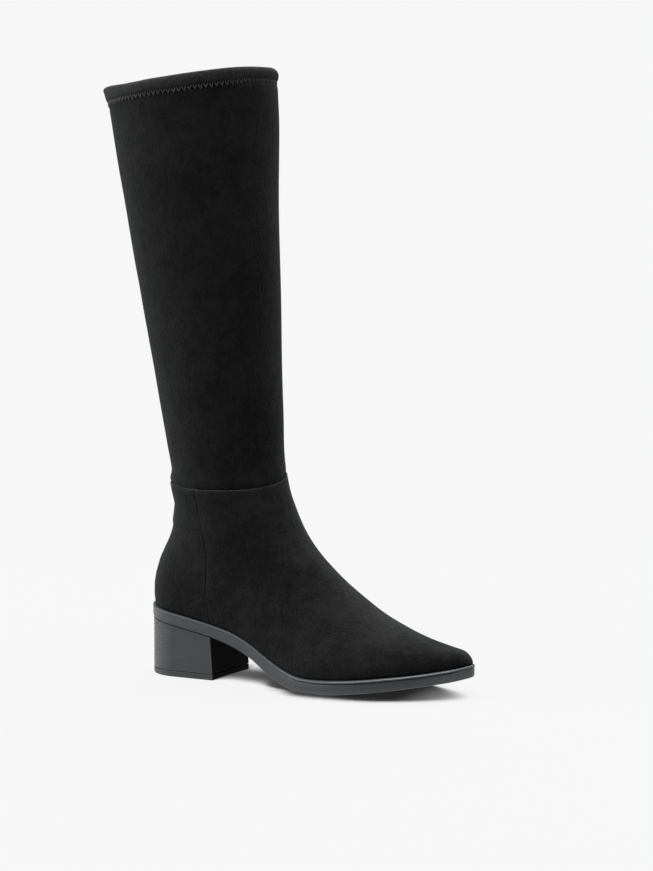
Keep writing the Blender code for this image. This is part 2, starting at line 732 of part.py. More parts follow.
def build_pull(place, collection, material):
    """Make the pull tab. The bar above its window is caught under the bridge and is its hinge."""
    bar, half, tip, side = PULL_BAR / 2, PULL_WIDTH / 2, PULL_TIP_WIDTH / 2, WINDOW_WIDTH / 2
    end_middle = tip - PULL_LENGTH
    end = [(tip * np.cos(angle), end_middle + tip * np.sin(angle)) for angle in np.linspace(0, -pi, 9)]
    edge = [(-half, bar), (half, bar), (half, -PULL_SHOULDER), *end, (-half, -PULL_SHOULDER)]
    window_end = -bar - WINDOW_LENGTH
    window = [(-side, -bar), (-side, window_end), (side, window_end), (side, -bar)]

    flat = bpy.data.curves.new("zip_pull", "CURVE")
    flat.dimensions = "2D"
    flat.fill_mode = "BOTH"
    flat.extrude = PULL_THICKNESS / 2 * MM
    for outline_points in (edge, window):
        spline = flat.splines.new("POLY")
        spline.points.add(len(outline_points) - 1)
        for point, (x, y) in zip(spline.points, outline_points):
            point.co = (x * MM, y * MM, 0.0, 1.0)
        spline.use_cyclic_u = True
    flat.materials.append(material)
    pull = bpy.data.objects.new("zip_pull", flat)
    collection.objects.link(pull)
    pull.matrix_world = place @ Matrix.Translation((0, 0, HINGE_HEIGHT * MM))


# ---------------------------------------------------------------------------------------------------
# The boot
# ---------------------------------------------------------------------------------------------------
def build_boot():
    clear_scene()
    boot = new_collection("knee_high_boot")
    helpers = new_collection("cutters")
    dark_grey, black = (0.050, 0.052, 0.055), (0.012, 0.012, 0.013)
    build_outsole(boot, new_material("outsole_rubber", dark_grey, 0.42))
    heel_rubber = new_material("heel_rubber", dark_grey, 0.42)
    tread_rubber = new_material("tread_rubber", (0.030, 0.031, 0.033), 0.60)
    build_heel(boot, heel_rubber, tread_rubber)
    build_insole(boot, new_material("brushed_lining", (0.020, 0.020, 0.021), 0.90))
    build_upper(boot, new_material("suede", black, 0.95))
    build_shaft(boot, new_material("stretch_suede", black, 0.95))

    zip_cloth = new_material("zip_cloth", black, 0.85)
    nylon = new_material("nylon_coil", (0.020, 0.020, 0.021), 0.40)
    build_zip_strips(boot, zip_cloth, nylon)
    lacquer = (0.030, 0.030, 0.032)
    place = zip_frame(SLIDER_LEVEL)
    build_slider(place, boot, helpers, new_material("slider_metal", lacquer, 0.35, 0.8))
    build_pull(place, boot, new_material("pull_metal", lacquer, 0.35, 0.8))


build_boot()
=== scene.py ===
# %% [markdown]
# # A knee-high boot in black suede
#
# The solids of this boot come from its CAD model, which the first cell loads as a fixed frame. Their
# size and form are right, but they are plain. This lesson dresses them with suede pieces and their
# cut edges, stitches, a zip, a moulded sole and heel, and all the materials.

import json
from functools import partial
from math import cos, pi, radians, sin

import bmesh
import bpy
import numpy as np
from mathutils import Matrix, Vector


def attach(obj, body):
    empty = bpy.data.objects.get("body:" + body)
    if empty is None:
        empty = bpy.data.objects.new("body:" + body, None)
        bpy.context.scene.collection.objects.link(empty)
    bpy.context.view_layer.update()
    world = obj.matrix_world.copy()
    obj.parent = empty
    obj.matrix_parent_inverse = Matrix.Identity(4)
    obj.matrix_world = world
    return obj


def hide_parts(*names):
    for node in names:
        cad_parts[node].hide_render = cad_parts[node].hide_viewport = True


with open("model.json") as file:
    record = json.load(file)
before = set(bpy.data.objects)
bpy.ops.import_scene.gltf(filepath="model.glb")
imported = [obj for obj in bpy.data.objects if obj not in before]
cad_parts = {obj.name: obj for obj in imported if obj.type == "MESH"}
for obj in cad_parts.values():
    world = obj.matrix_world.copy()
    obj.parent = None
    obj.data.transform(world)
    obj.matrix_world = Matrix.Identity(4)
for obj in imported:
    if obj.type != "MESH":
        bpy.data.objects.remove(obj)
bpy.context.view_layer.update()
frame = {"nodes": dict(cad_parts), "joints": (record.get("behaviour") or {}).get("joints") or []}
print("CAD nodes:", ", ".join(sorted(frame["nodes"])))

# %% [markdown]
# ## The last that the boot is made on
#
# A shoemaker pulls the leather over a last, and every seam is a line on that last. Here the last is
# a function. A point is given by its level, the mean height of its section, and by its turn, which
# runs from 0 at the back over the outer side to pi at the front and on over the inner side to 2 pi.
# The same tables make the solids of the CAD model, so that whatever is sewn, cut or glued lies where
# it should. Sizes are in millimetres from the back of the heel.

# %% Driving sizes of the last
MM = 0.001
LENGTH, BALL_WIDTH = 262.0, 82.0
SEAT_HEIGHT, INSTEP_HEIGHT, BOOT_HEIGHT = 52.5, 100.0, 445.0
ORIGIN_X = 34.0  # the frame's origin lies under the middle of the heel
FIT = 0.3
TUCK, TUCK_HEIGHT = 1.0, 9.0
HEEL_ROUND, TOE_ROUND, UPPER_TIP = 28.0, 11.0, 260.0

# %% Tables of the last
# Outline of the upper's lower edge: station, outer side, inner side, ridge, fullness, in per cent.
OUTLINE = (
    (0, 33, 32, 0, 2), (9, 34, 33, 0, 2), (17, 34, 32, 0, 1.9), (25, 33.5, 30, 0, 1.8),
    (36, 34, 28.5, 0, 1.8), (47, 38, 33, -2, 1.9), (57, 44, 41, -3, 2), (65, 47, 47, -3, 2.1),
    (73, 45.5, 48.5, -1.5, 2.2), (80, 39, 44.5, 0, 2.3), (88, 28, 35, 1.5, 2.3), (95, 15.5, 23, 2.5, 2.2),
    (100, 7, 13, 3, 2.1),
)
# Side view of the sole: station, underside, top edge, in per cent.
SOLE_PROFILE = (
    (0, 82, 100), (8, 75.5, 93), (17, 67.5, 85), (25, 59, 76.5), (31, 49.5, 68.5), (37, 36, 55),
    (42, 19.5, 40.5), (47, 6.5, 28), (52, 0, 20.2), (57, 0, 18.5), (61, 0, 19.4), (70, 4.5, 23.2),
    (79, 10.5, 28.6), (88, 17.5, 34.5), (95, 23.5, 40.4), (100, 29.5, 45.7),
)
# Crest of the foot in side view: station, height, in per cent.
RIDGE = (
    (0, 300), (30, 180), (45, 117), (50, 100), (55, 88), (60, 77), (65, 67.5), (71, 56.5), (78, 47),
    (85, 40), (92, 35.5), (100, 32),
)
# Sections of the foot: back x, back z, front x, share of the leg, half breadth, lean, roll.
FOOT_SECTIONS = (
    (0.9, 53, 99.24, 0, 30, 0, 0), (0.7, 57, 99, 0, 30, 0, 0), (0.6, 62, 97.7, 0.02, 30, 0, 0),
    (0.65, 68, 93.5, 0.06, 30, 0, 0), (1.1, 74, 86.3, 0.12, 30, 0, 0),
    (2.1, 82, 76.3, 0.22, 30.5, 0, 0.02), (3.4, 92, 65.6, 0.36, 31, 0.5, 0.05),
    (5.1, 103, 56.5, 0.55, 32, 1, 0.09), (6.5, 114, 49.2, 0.75, 33, 1.8, 0.13),
)
# Sections of the leg: back x, back z, front x, front z, share, half breadth, lean, roll.
LEG_SECTIONS = (
    (6.9, 28.5, 43.1, 29.2, 0.92, 34, 2.5, 0.17), (6.3, 32.6, 40.7, 33.3, 1, 35, 2.5, 0.19),
    (5.3, 40.4, 39.7, 42, 1, 38.5, 0.5, 0.14), (1.9, 57.1, 40.1, 59.6, 1, 45.5, -6.5, 0.07),
    (-2.4, 75.7, 40.5, 78.4, 1, 52, -13, 0.05), (-8, 97.3, 41, 100, 1, 58, -18.5, 0.04),
)
# Lines up the surface: level, degrees from the back. The counter seam is on the outer side and the
# zip on the inner side.
COUNTER_SEAM = (
    (38, 57), (50, 58), (69, 64), (87, 69), (114, 74), (147, 78), (440, 80),
)
ZIP_LINE = (
    (38, 78), (50, 79), (66, 83), (86, 89.5), (97, 93.5), (119, 101), (147, 103), (168, 100), (211, 97),
    (440, 96),
)


# %% Smooth curves through the tables
def curve(places, values):
    """Return a smooth function through the values. Each slope comes from the two rows beside it."""
    places, values = np.array(places, float), np.array(values, float)
    gaps = np.diff(places)
    slopes = np.diff(values) / gaps
    tangents = np.empty(len(values))
    tangents[1:-1] = (slopes[:-1] * gaps[1:] + slopes[1:] * gaps[:-1]) / (gaps[:-1] + gaps[1:])
    tangents[1:-1][slopes[:-1] * slopes[1:] <= 0] = 0
    tangents[0] = 1.5 * slopes[0] - 0.5 * tangents[1]
    tangents[-1] = 1.5 * slopes[-1] - 0.5 * tangents[-2]

    def at(place):
        place = np.clip(place, places[0], places[-1])
        row = np.clip(np.searchsorted(places, place, side="right") - 1, 0, len(gaps) - 1)
        part = (place - places[row]) / gaps[row]
        rest = 1 - part
        ends = values[row] * (1 + 2 * part) * rest**2 + values[row + 1] * (3 - 2 * part) * part**2
        return ends + gaps[row] * part * rest * (tangents[row] * rest - tangents[row + 1] * part)

    return at


def table_curve(table, number=1, place_unit=1.0, unit=1.0):
    """Return the curve through one column of a table, with both columns scaled."""
    return curve([row[0] * place_unit for row in table], [row[number] * unit for row in table])


def ramp(value, start, full):
    """Return 0 up to the start, 1 from full on and a smooth rise between them."""
    part = np.clip((value - start) / (full - start), 0, 1)
    return part * part * (3 - 2 * part)


def closing(distance, length):
    """Return the round end of an outline: 0 at its tip, rising to 1 over the length."""
    part = np.clip(distance / length, 0, 1)
    return np.sqrt(1 - (1 - part) ** 2)


def profiles(table, numbers, unit):
    """Return the curves through columns that are given in per cent of a size."""
    return [table_curve(table, number, LENGTH / 100, unit / 100) for number in numbers]


outer_edge, inner_edge, ridge_side = profiles(OUTLINE, (1, 2, 3), BALL_WIDTH)
fullness = table_curve(OUTLINE, 4, LENGTH / 100)
sole_underside, sole_top = profiles(SOLE_PROFILE, (1, 2), SEAT_HEIGHT)
(ridge_body,) = profiles(RIDGE, (1,), INSTEP_HEIGHT)
counter_degrees, zip_degrees = table_curve(COUNTER_SEAM), table_curve(ZIP_LINE)
print("sole's top edge at the heel and the toe:", sole_top(0.0), sole_top(LENGTH))


# %% The surface of the last
def seat(x):
    """Return the height of the upper's lower edge."""
    return sole_top(x) + FIT


def ridge(x):
    """Return the height of the foot's crest, which comes down round at the tip of the toe."""
    return seat(x) + (ridge_body(x) - seat(x)) * closing(UPPER_TIP - x, TOE_ROUND)


# Every section: back x, back z, front x, front z, share of the leg, half breadth, lean, roll.
SECTIONS = []
for back_x, back_z, front_x, *leg_form in FOOT_SECTIONS:
    back_x, front_x = back_x * LENGTH / 100, min(front_x * LENGTH / 100, UPPER_TIP)
    back_z = max(back_z * INSTEP_HEIGHT / 100, seat(back_x))
    SECTIONS.append((back_x, back_z, front_x, ridge(front_x), *leg_form))
leg_units = np.array([LENGTH, BOOT_HEIGHT, LENGTH, BOOT_HEIGHT]) / 100
SECTIONS += [(*(row[:4] * leg_units), *row[4:]) for row in LEG_SECTIONS]
LEVELS = [(back_z + front_z) / 2 for _, back_z, _, front_z, *_ in SECTIONS]
SECTION_CURVES = [curve(LEVELS, [row[number] for row in SECTIONS]) for number in range(8)]
EDGE_LEVEL, TOP_LEVEL = LEVELS[0], LEVELS[-1]
SEAM_LEVEL = LEVELS[len(FOOT_SECTIONS) + 1]


def surface(level, turn):
    """Return points of the last at one level, or at a level for each turn, in millimetres."""
    back_x, back_z, front_x, front_z, leg, half_leg, lean, roll = (
        section(level) for section in SECTION_CURVES
    )
    turn = np.mod(turn, 2 * pi)
    share = (1 - np.cos(turn)) / 2
    x = back_x + (front_x - back_x) * share

    rise_back, rise_front = back_z - seat(back_x), front_z - seat(front_x)
    z_foot = seat(x) + rise_back + (rise_front - rise_back) * share
    z_leg = back_z + (front_z - back_z) * share
    z = z_foot + (z_leg - z_foot) * leg

    height = np.clip((z - seat(x)) / np.maximum(ridge(x) - seat(x), 0.5), 0, 1)
    arch = np.sqrt(1 - height ** fullness(x))
    middle = (inner_edge(x) - outer_edge(x)) / 2
    tuck = TUCK * np.clip(1 - (z - seat(x)) / TUCK_HEIGHT, 0, 1) ** 2
    half_foot = (inner_edge(x) + outer_edge(x)) / 2 - tuck
    half_foot = half_foot * arch * closing(x - back_x, HEEL_ROUND) * closing(UPPER_TIP - x, TOE_ROUND)
    y_foot = middle + (ridge_side(x) - middle) * height - np.where(turn <= pi, 1, -1) * half_foot
    y_leg = lean - half_leg * np.sin(turn)
    y = y_foot + (y_leg - y_foot) * leg
    return np.stack([x, y, z + roll * (y - lean)], axis=-1)


def normalised(vectors):
    return vectors / np.linalg.norm(vectors, axis=-1, keepdims=True)


def directions(level, turn):
    """Return the length of section per radian, the direction up the surface and its outward normal."""
    small_turn, small_level = 0.004, 0.25
    along = surface(level, turn + small_turn) - surface(level, turn - small_turn)
    low = np.maximum(level - small_level, EDGE_LEVEL)
    high = np.minimum(level + small_level, TOP_LEVEL)
    up = surface(high, turn) - surface(low, turn)
    speed = np.linalg.norm(along, axis=-1) / (2 * small_turn)
    return speed, normalised(up), normalised(np.cross(along, up))


def zip_middle(level):
    return 2 * pi - np.radians(zip_degrees(level))


speed_levels = np.linspace(EDGE_LEVEL, TOP_LEVEL, 70)
zip_speed = curve(speed_levels, directions(speed_levels, zip_middle(speed_levels))[0])


def zip_turn(level, aside=0.0):
    """Return the turn of the zip's middle line, or of a line that many millimetres behind it."""
    return zip_middle(level) + aside / zip_speed(level)


shaft_top = surface(TOP_LEVEL, np.linspace(0, 2 * pi, 200))[:, 2].max()
print("ankle seam lies at level", round(SEAM_LEVEL, 1), "and the top edge at", round(TOP_LEVEL, 1))

# %% [markdown]
# ## Creases that wearing and storing leave
#
# Suede gives where the foot bends. The back of the ankle folds softly just under the seam, and the
# tall shaft is never quite straight. A crease is a small move along the surface's normal. It is one
# function that every piece uses, so that neighbours crease together, as they do when they are sewn.

# %% Creases
# Depth of the folds at the back of the ankle: millimetres above the ankle seam, move outwards.
ANKLE_FOLDS = (
    (-96, 0), (-82, 0.7), (-75, 0.9), (-66, 0.4), (-58, 0), (-50, -0.3), (-42, -0.1), (-38, 0.2),
    (-34, 1.2), (-28, 1.3), (-22, 0.9), (-17, 0.5), (-13, -0.2), (-9, 0.5), (-5, 1.1), (1.5, 1.6),
    (5.5, 1.7), (9, 0.3), (12.5, -1), (18, -0.8), (25, -0.4), (33, 0), (60, 0),
)
# Lean of the shaft's back: millimetres above the ankle seam, move outwards.
SHAFT_BACK = (
    (18, 0), (31, 0.35), (46, 1.25), (61, 1.65), (76, 1.3), (90, 0.65), (105, 0.15), (120, -0.15),
    (135, -0.15), (150, 0), (164, 0.6), (194, 1.1), (209, 1), (238, 0.75), (258, 0.2), (285, 0),
)
FOLD_REACH, SHAFT_REACH, FLARE_REACH = 1.15, 1.6, 0.9  # radians to either side of the back
HEM_FLARE, HEM_FLATTENING = 1.7, 2.1
ankle_fold, shaft_back = table_curve(ANKLE_FOLDS), table_curve(SHAFT_BACK)


def crease(level, turn):
    """Return how far the surface stands out from the last, in millimetres."""
    from_back = np.mod(turn + pi, 2 * pi) - pi
    at_fold, at_shaft, at_flare = (
        np.exp(-((from_back / reach) ** 2)) for reach in (FOLD_REACH, SHAFT_REACH, FLARE_REACH)
    )
    folds = ankle_fold(level - SEAM_LEVEL + 1.6 * np.sin(2.1 * from_back + 0.4)) * at_fold
    folds = folds + shaft_back(level - SEAM_LEVEL) * at_shaft
    # The hem flares a little at the back and lies flat in front, where the calf fills the shaft.
    folds = folds + HEM_FLARE * at_flare * ramp(level, TOP_LEVEL - 4, TOP_LEVEL - 0.3)
    in_front = ramp(np.abs(from_back), 2.35, 2.9)
    folds = folds - HEM_FLATTENING * in_front * ramp(level, TOP_LEVEL - 13, TOP_LEVEL - 8)
    on_leg = ramp(level, SEAM_LEVEL + 10, SEAM_LEVEL + 60) * ramp(TOP_LEVEL - level, 6, 40)
    waves = 0.45 * np.sin(level / 21.0 + 2 * turn) + 0.35 * np.sin(level / 34.0 - 3 * turn + 1.0)
    return folds + on_leg * waves


def laid(level, turn, depth=0.0):
    """Return points at a depth below the creased surface. Past the top edge, levels go straight up."""
    within = np.minimum(level, TOP_LEVEL)
    move = crease(within, turn) - depth
    points = surface(within, turn) + directions(within, turn)[2] * np.reshape(move, (-1, 1))
    points[:, 2] += level - within
    return points


print("deepest crease:", np.round(crease(SEAM_LEVEL - 17, 0.0), 2), "mm")

# %% [markdown]
# ## From points to meshes
#
# Most pieces are grids: rows of points that become quads. One helper makes them all with the same
# winding, so that faces point outwards when rows rise and columns turn the way the last does.


# %% Grids of points
def set_up(thing, **settings):
    """Give a thing all its settings."""
    for name, value in settings.items():
        setattr(thing, name, value)
    return thing


def add_object(name, data):
    """Return a new object in the scene, at the origin."""
    new = bpy.data.objects.new(name, data)
    bpy.context.scene.collection.objects.link(new)
    return new


def new_object(name, points, faces, edges=()):
    """Return a smooth-shaded object. Points are in millimetres from the heel's back."""
    mesh = bpy.data.meshes.new(name)
    placed = (np.asarray(points, float) - (ORIGIN_X, 0, 0)) * MM
    mesh.from_pydata([tuple(point) for point in placed], list(edges), list(faces))
    mesh.shade_smooth()
    return add_object(name, mesh)


def grid_faces(rows, columns, closed=False):
    """Return the quads between the rows of a grid."""
    faces = []
    for low in range(0, (rows - 1) * columns, columns):
        for start in range(columns if closed else columns - 1):
            end = (start + 1) % columns
            faces.append((low + start, low + end, low + columns + end, low + columns + start))
    return faces


def store(piece, name, values, kind="FLOAT"):
    """Keep a number or a vector for each point, for a material or a node tree to read."""
    attribute = piece.data.attributes.new(name, kind, "POINT")
    field = "value" if kind == "FLOAT" else "vector"
    attribute.data.foreach_set(field, np.asarray(values, np.float32).ravel())


# %% [markdown]
# ## Patterns of the upper
#
# The foot is cut from two pieces. The vamp covers the toe and both sides, and the heel panel wraps
# the back. The heel panel's cut edge laps over the vamp on the outer side; on the inner side both
# meet at the zip. A wall from Solidify makes them leather rather than paper, and the edges are where
# the eye checks that: an overlapping edge is pared thin, an edge beside a zip is turned under.
#
# So each edge is a small table. Its rows say how far a line of points lies from the edge, how deep it
# lies, how much of the wall is left there, and how much of the raw cut fibre shows.

# %% Sizes of the upper
UPPER_WALL, HEM_WALL = 1.6, 2.4
ZIP_BOTTOM, ZIP_TOP, SLIT_WIDTH, SEAM_PRESS = 48.0, 238.0, 6.6, 0.12

# From the edge, depth, share of the wall, raw fibre.
PARED_EDGE = (
    (0, -0.02, 0.35, 0.35), (0.35, -0.16, 0.4, 0.1), (1, -0.06, 0.5, 0), (3, 0, 0.8, 0), (6, 0, 1, 0),
)
TURNED_EDGE = (
    (0, 0.85, 0.7, 0), (0.35, 0.35, 0.9, 0), (1, 0.05, 1, 0), (2.6, 0, 1, 0),
)
LAPPED_EDGE = (
    (-5, 0.85, 0.5, 0), (-1.2, 0.75, 0.7, 0), (0.15, 0.65, 1, 0.25), (0.7, 0.36, 1, 0.2),
    (1.8, 0.12, 1, 0), (4, 0, 1, 0),
)
# The ankle edge, by level: below the seam, depth, raw fibre. The row of stitches draws it in.
ANKLE_EDGE = (
    (0, 0.15, 1), (0.45, -0.06, 0.85), (1, -0.1, 0.3), (1.9, 0.02, 0), (3.2, 0, 0),
)
# Rise of the ankle seam in millimetres, by degrees from the back.
ANKLE_RISE = (
    (0, 0), (20, 1), (42, 2.2), (65, 1.6), (85, 1.1), (105, 0.7), (120, 0), (136, -0.7), (165, -1.1),
    (185, -0.6), (205, 0), (360, 0),
)
ankle_rise = table_curve(ANKLE_RISE)


def by_turn(rises, turn):
    """Return a value that a table gives by degrees from the back."""
    return rises(np.degrees(np.mod(turn, 2 * pi)))


def seam_level(level, turn):
    """Return levels near the ankle seam as they rise and fall with it, turn by turn."""
    from_seam = level - SEAM_LEVEL
    near = ramp(from_seam, -22, -4) * (1 - ramp(from_seam, 4, 22))
    return level + by_turn(ankle_rise, turn) * near


# %% Rows and columns on the last
def even_levels(low, high, spacing):
    """Return levels whose rows lie about this far apart where they spread most."""
    fine = np.linspace(low, high, 300)
    lines = np.array([surface(level, np.array([0.0, pi / 2, pi, 3 * pi / 2])) for level in fine])
    steps = np.linalg.norm(np.diff(lines, axis=0), axis=-1).max(axis=1)
    walked = np.concatenate([[0.0], np.cumsum(steps)])
    return np.interp(np.linspace(0, walked[-1], int(walked[-1] / spacing) + 2), walked, fine)


def spread_turns(level, low, high, shares, samples):
    """Return turns at shares of the way, which is half length and half turn.

    That keeps columns close together round the toe and the heel.
    """
    fine = np.linspace(low, high, samples)
    steps = np.linalg.norm(np.diff(surface(level, fine), axis=0), axis=-1)
    walked = np.concatenate([[0.0], np.cumsum(steps)]) / steps.sum()
    return np.interp(shares, (walked + np.linspace(0, 1, samples)) / 2, fine)


def panel_turns(level, start, end, count, start_edge, end_edge):
    """Return the turns of one row: the columns of both edges, and even ones between them."""
    speeds = directions(level, np.array([start, end]))[0]
    first = start + np.array([row[0] for row in start_edge]) / speeds[0]
    last = end - np.array([row[0] for row in end_edge])[::-1] / speeds[1]
    between = spread_turns(level, first[-1], last[0], np.linspace(0, 1, count + 2)[1:-1], 240)
    return np.concatenate([first, between, last])


def slit_half(level):
    """Return half of the zip's opening. Beyond the ends of the zip both edges are pressed together."""
    opening = ramp(level, ZIP_BOTTOM - 0.4, ZIP_BOTTOM + 1.2) * ramp(ZIP_TOP - level, -0.4, 1.2)
    return (SLIT_WIDTH / 2 + SEAM_PRESS) * opening - SEAM_PRESS


rows_of_foot = even_levels(EDGE_LEVEL, SEAM_LEVEL - 4.4, 3.0)
near_zip_end = [ZIP_BOTTOM + above for above in (-1.0, 0.0, 0.6, 1.4)]
rows_of_foot = [level for level in rows_of_foot if not ZIP_BOTTOM - 1.6 < level < ZIP_BOTTOM + 2.0]
foot_levels = sorted([*rows_of_foot, *near_zip_end, *(SEAM_LEVEL - row[0] for row in ANKLE_EDGE)])
print("rows of the foot:", len(foot_levels))


# %% Cut a panel
def cut_panel(name, levels, bounds_at, count, edges, row_form, wall, bend, closing_depth=1.0):
    """Return a panel of the last with its wall.

    bounds_at gives the turns of its two edges, row_form the depth, raw fibre and share of the wall
    along a row, and bend moves the levels of a row, turn by turn.
    """
    start_edge, end_edge = edges
    middle = [(0, 0.0, 1.0, 0.0)] * count
    depths, shares, fibre = np.array([*start_edge, *middle, *end_edge[::-1]])[:, 1:].T
    rows, fibres, walls = [], [], []
    for level in levels:
        turns = panel_turns(level, *bounds_at(level), count, start_edge, end_edge)
        row_depth, row_fibre, row_wall = row_form(level, turns)
        edge_depths = depths * (closing_depth if level > ZIP_TOP else 1.0)
        rows.append(laid(bend(level, turns), turns, edge_depths + row_depth))
        fibres.append(np.maximum(fibre, row_fibre))
        walls.append(shares * row_wall)
    panel = new_object(name, np.concatenate(rows), grid_faces(len(rows), len(rows[0])))
    store(panel, "raw_fibre", np.concatenate(fibres))
    thickness = panel.vertex_groups.new(name="wall")
    for point, share in enumerate(np.concatenate(walls)):
        thickness.add([point], share, "REPLACE")
    solid = set_up(panel.modifiers.new("wall", "SOLIDIFY"), thickness=wall * MM, offset=-1)
    set_up(solid, use_quality_normals=True, vertex_group="wall", material_offset=1)
    set_up(panel.modifiers.new("finer", "SUBSURF"), levels=1, render_levels=1)
    print(name, "has", len(panel.data.polygons), "quads in", len(rows), "rows")
    return panel


def heights(table):
    """Return a table with heights above an edge, from one that says how far below it a row lies."""
    return sorted((-below, *rest) for below, *rest in table)


ankle_depth, ankle_fibre = (table_curve(heights(ANKLE_EDGE), number) for number in (1, 2))


def foot_row(level, turns):
    above = level - SEAM_LEVEL
    if above < -ANKLE_EDGE[-1][0]:
        return 0.0, 0.0, 1.0
    return ankle_depth(above), ankle_fibre(above), 0.9 - 0.45 * ramp(above, -3.0, -0.4)


def vamp_bounds(level):
    return np.radians(counter_degrees(level)), zip_turn(level, -slit_half(level))


def heel_bounds(level):
    return zip_turn(level, slit_half(level)), 2 * pi + np.radians(counter_degrees(level))


vamp_edges, heel_edges = (LAPPED_EDGE, TURNED_EDGE), (TURNED_EDGE, PARED_EDGE)
foot_form = foot_row, UPPER_WALL, seam_level
vamp = cut_panel("vamp", foot_levels, vamp_bounds, 104, vamp_edges, *foot_form)
heel_panel = cut_panel("heel_panel", foot_levels, heel_bounds, 50, heel_edges, *foot_form)

# %% [markdown]
# ## The stretch shaft
#
# The shaft is one tube of stretch suede. It starts inside the foot's edge, squeezed in by the seam,
# and ends in a hem: the cloth is turned over and caught by a zigzag, which stretches with it. The
# turned hem is thicker, so it stands proud, rolls over at the top, and is pinched where the zigzag
# bites. The tube closes with a seam above the zip, on the inner side.

# %% Make the shaft
# Foot of the shaft: above the ankle seam, depth.
SHAFT_FOOT = (
    (-8, 2.4), (-4, 2.1), (-0.5, 1.55), (0.3, 1.15), (0.9, 0.8), (1.9, 0.42), (3.4, 0.15), (6, 0.03),
    (9, 0),
)
# Hem: below the top edge, depth, share of the hem's wall.
HEM = (
    (15.5, 0, 0.58), (13.6, 0.2, 0.6), (12.6, 0.18, 0.66), (11.6, -0.1, 0.75), (10.6, -0.35, 0.85),
    (9.6, -0.8, 0.95), (8.2, -1.35, 1), (6.2, -1.6, 1), (4.4, -1.75, 1), (3, -1.7, 1), (1.9, -1.5, 1),
    (1, -1.1, 1), (0.35, -0.55, 1), (0, 0.3, 1),
)
# Drop of the top edge and rise of the zigzag line, in millimetres, by degrees from the back.
TOP_DROP = (
    (0, 0), (42, 0), (50, 0.2), (60, 0.8), (72, 1.5), (80, 1.5), (90, 1.2), (102, 1.1), (116, 0.6),
    (130, 0.1), (144, -0.5), (160, -0.7), (178, -0.6), (190, -0.8), (200, -0.5), (212, 0.3), (228, 1),
    (245, 1.2), (270, 0.9), (320, 0.2), (360, 0),
)
HEM_RISE = (
    (0, 0.2), (60, 0), (100, 0), (140, 1.2), (175, 2.8), (215, 2.8), (260, 1), (360, 0.2),
)
top_drop, hem_rise, shaft_foot_depth = map(table_curve, (TOP_DROP, HEM_RISE, SHAFT_FOOT))
hem_depth, hem_share = (table_curve(heights(HEM), number) for number in (1, 2))


def shaft_depth(level):
    return shaft_foot_depth(level - SEAM_LEVEL) + hem_depth(level - TOP_LEVEL)


def shaft_row(level, turns):
    """Return the form of a row. The hem is drawn paler, most in front."""
    paler_hem = 0.25 + 0.7 * ramp(pi - np.abs(pi - turns), 1.2, 2.6)
    paler_hem = paler_hem * ramp(level, TOP_LEVEL - 10.2, TOP_LEVEL - 8.8)
    return shaft_depth(level), paler_hem, hem_share(level - TOP_LEVEL)


def hem_level(level, turn):
    """Return the levels of a row at each turn: the top edge dips, and the zigzag line rises in front."""
    near_top = ramp(level, TOP_LEVEL - 11, TOP_LEVEL)
    near_line = ramp(level, TOP_LEVEL - 60, TOP_LEVEL - 15) * (1 - near_top)
    moved = by_turn(hem_rise, turn) * near_line - by_turn(top_drop, turn) * near_top
    return seam_level(level, turn) + moved


def shaft_bounds(level):
    return zip_turn(level, slit_half(level)), 2 * pi + zip_turn(level, -slit_half(level))


foot_of_shaft = [SEAM_LEVEL + row[0] for row in SHAFT_FOOT]
hem_rows = [TOP_LEVEL - row[0] for row in HEM]
between = even_levels(foot_of_shaft[-1], hem_rows[0], 4.2)[1:-1]
between = [level for level in between if abs(level - ZIP_TOP) > 2.0]
zip_end_rows = [ZIP_TOP + above for above in (-1.4, -0.6, 0.0, 1.0)]
shaft_levels = [*foot_of_shaft, *sorted([*between, *zip_end_rows]), *hem_rows]
shaft_form = (TURNED_EDGE, TURNED_EDGE), shaft_row, HEM_WALL, hem_level, 0.5
shaft_piece = cut_panel("stretch_shaft", shaft_levels, shaft_bounds, 84, *shaft_form)

# %% [markdown]
# ## A small kit for node trees
#
# Materials and Geometry Nodes are both trees of nodes, so one function serves them all. It adds a
# node of any kind and fills it in. Values without a name go to the sockets in use, in their order. A
# name in small letters is a setting of the node, and a capitalised name is a socket. Colours are
# written as hex values, and turned from sRGB to the linear values that Blender mixes.
#
# Each cell that builds a tree calls this function add, with its tree already filled in. The kinds
# that come up often have short names here, and SMOOTH lets a change of range rise without a corner.


# %% The node kit
def hex_colour(text):
    """Return the linear colour of an sRGB hex value."""
    parts = [int(text[at : at + 2], 16) / 255 for at in (1, 3, 5)]
    linear = [part / 12.92 if part <= 0.04045 else ((part + 0.055) / 1.055) ** 2.4 for part in parts]
    return (*linear, 1.0)


def fill(node, *values, **named):
    """Fill in a node. A value can be plain, a hex colour, another node or one of its outputs."""
    set_up(node, **{name: value for name, value in named.items() if name[0].islower()})
    given = list(zip([socket for socket in node.inputs if socket.enabled], values))
    for name, value in named.items():
        if name[0].isupper():
            given.append((node.inputs[name.replace("_", " ")], value))
    for socket, value in given:
        if isinstance(value, bpy.types.Node):
            value = next(output for output in value.outputs if output.enabled)
        if isinstance(value, bpy.types.NodeSocket):
            node.id_data.links.new(value, socket)
        elif isinstance(value, str) and value.startswith("#"):
            socket.default_value = hex_colour(value)
        else:
            socket.default_value = value


def add_node(tree, kind, *values, **named):
    """Add a node of this kind to a tree and fill it in."""
    new = tree.nodes.new(kind)
    fill(new, *values, **named)
    return new


KINDS = ("Math", "VectorMath", "Mix", "MapRange", "TexNoise", "TexWave", "Bump")
MATH, VECTOR_MATH, MIX, MAP_RANGE, NOISE, WAVE, BUMP = (f"ShaderNode{kind}" for kind in KINDS)
SMOOTH = {"interpolation_type": "SMOOTHSTEP"}


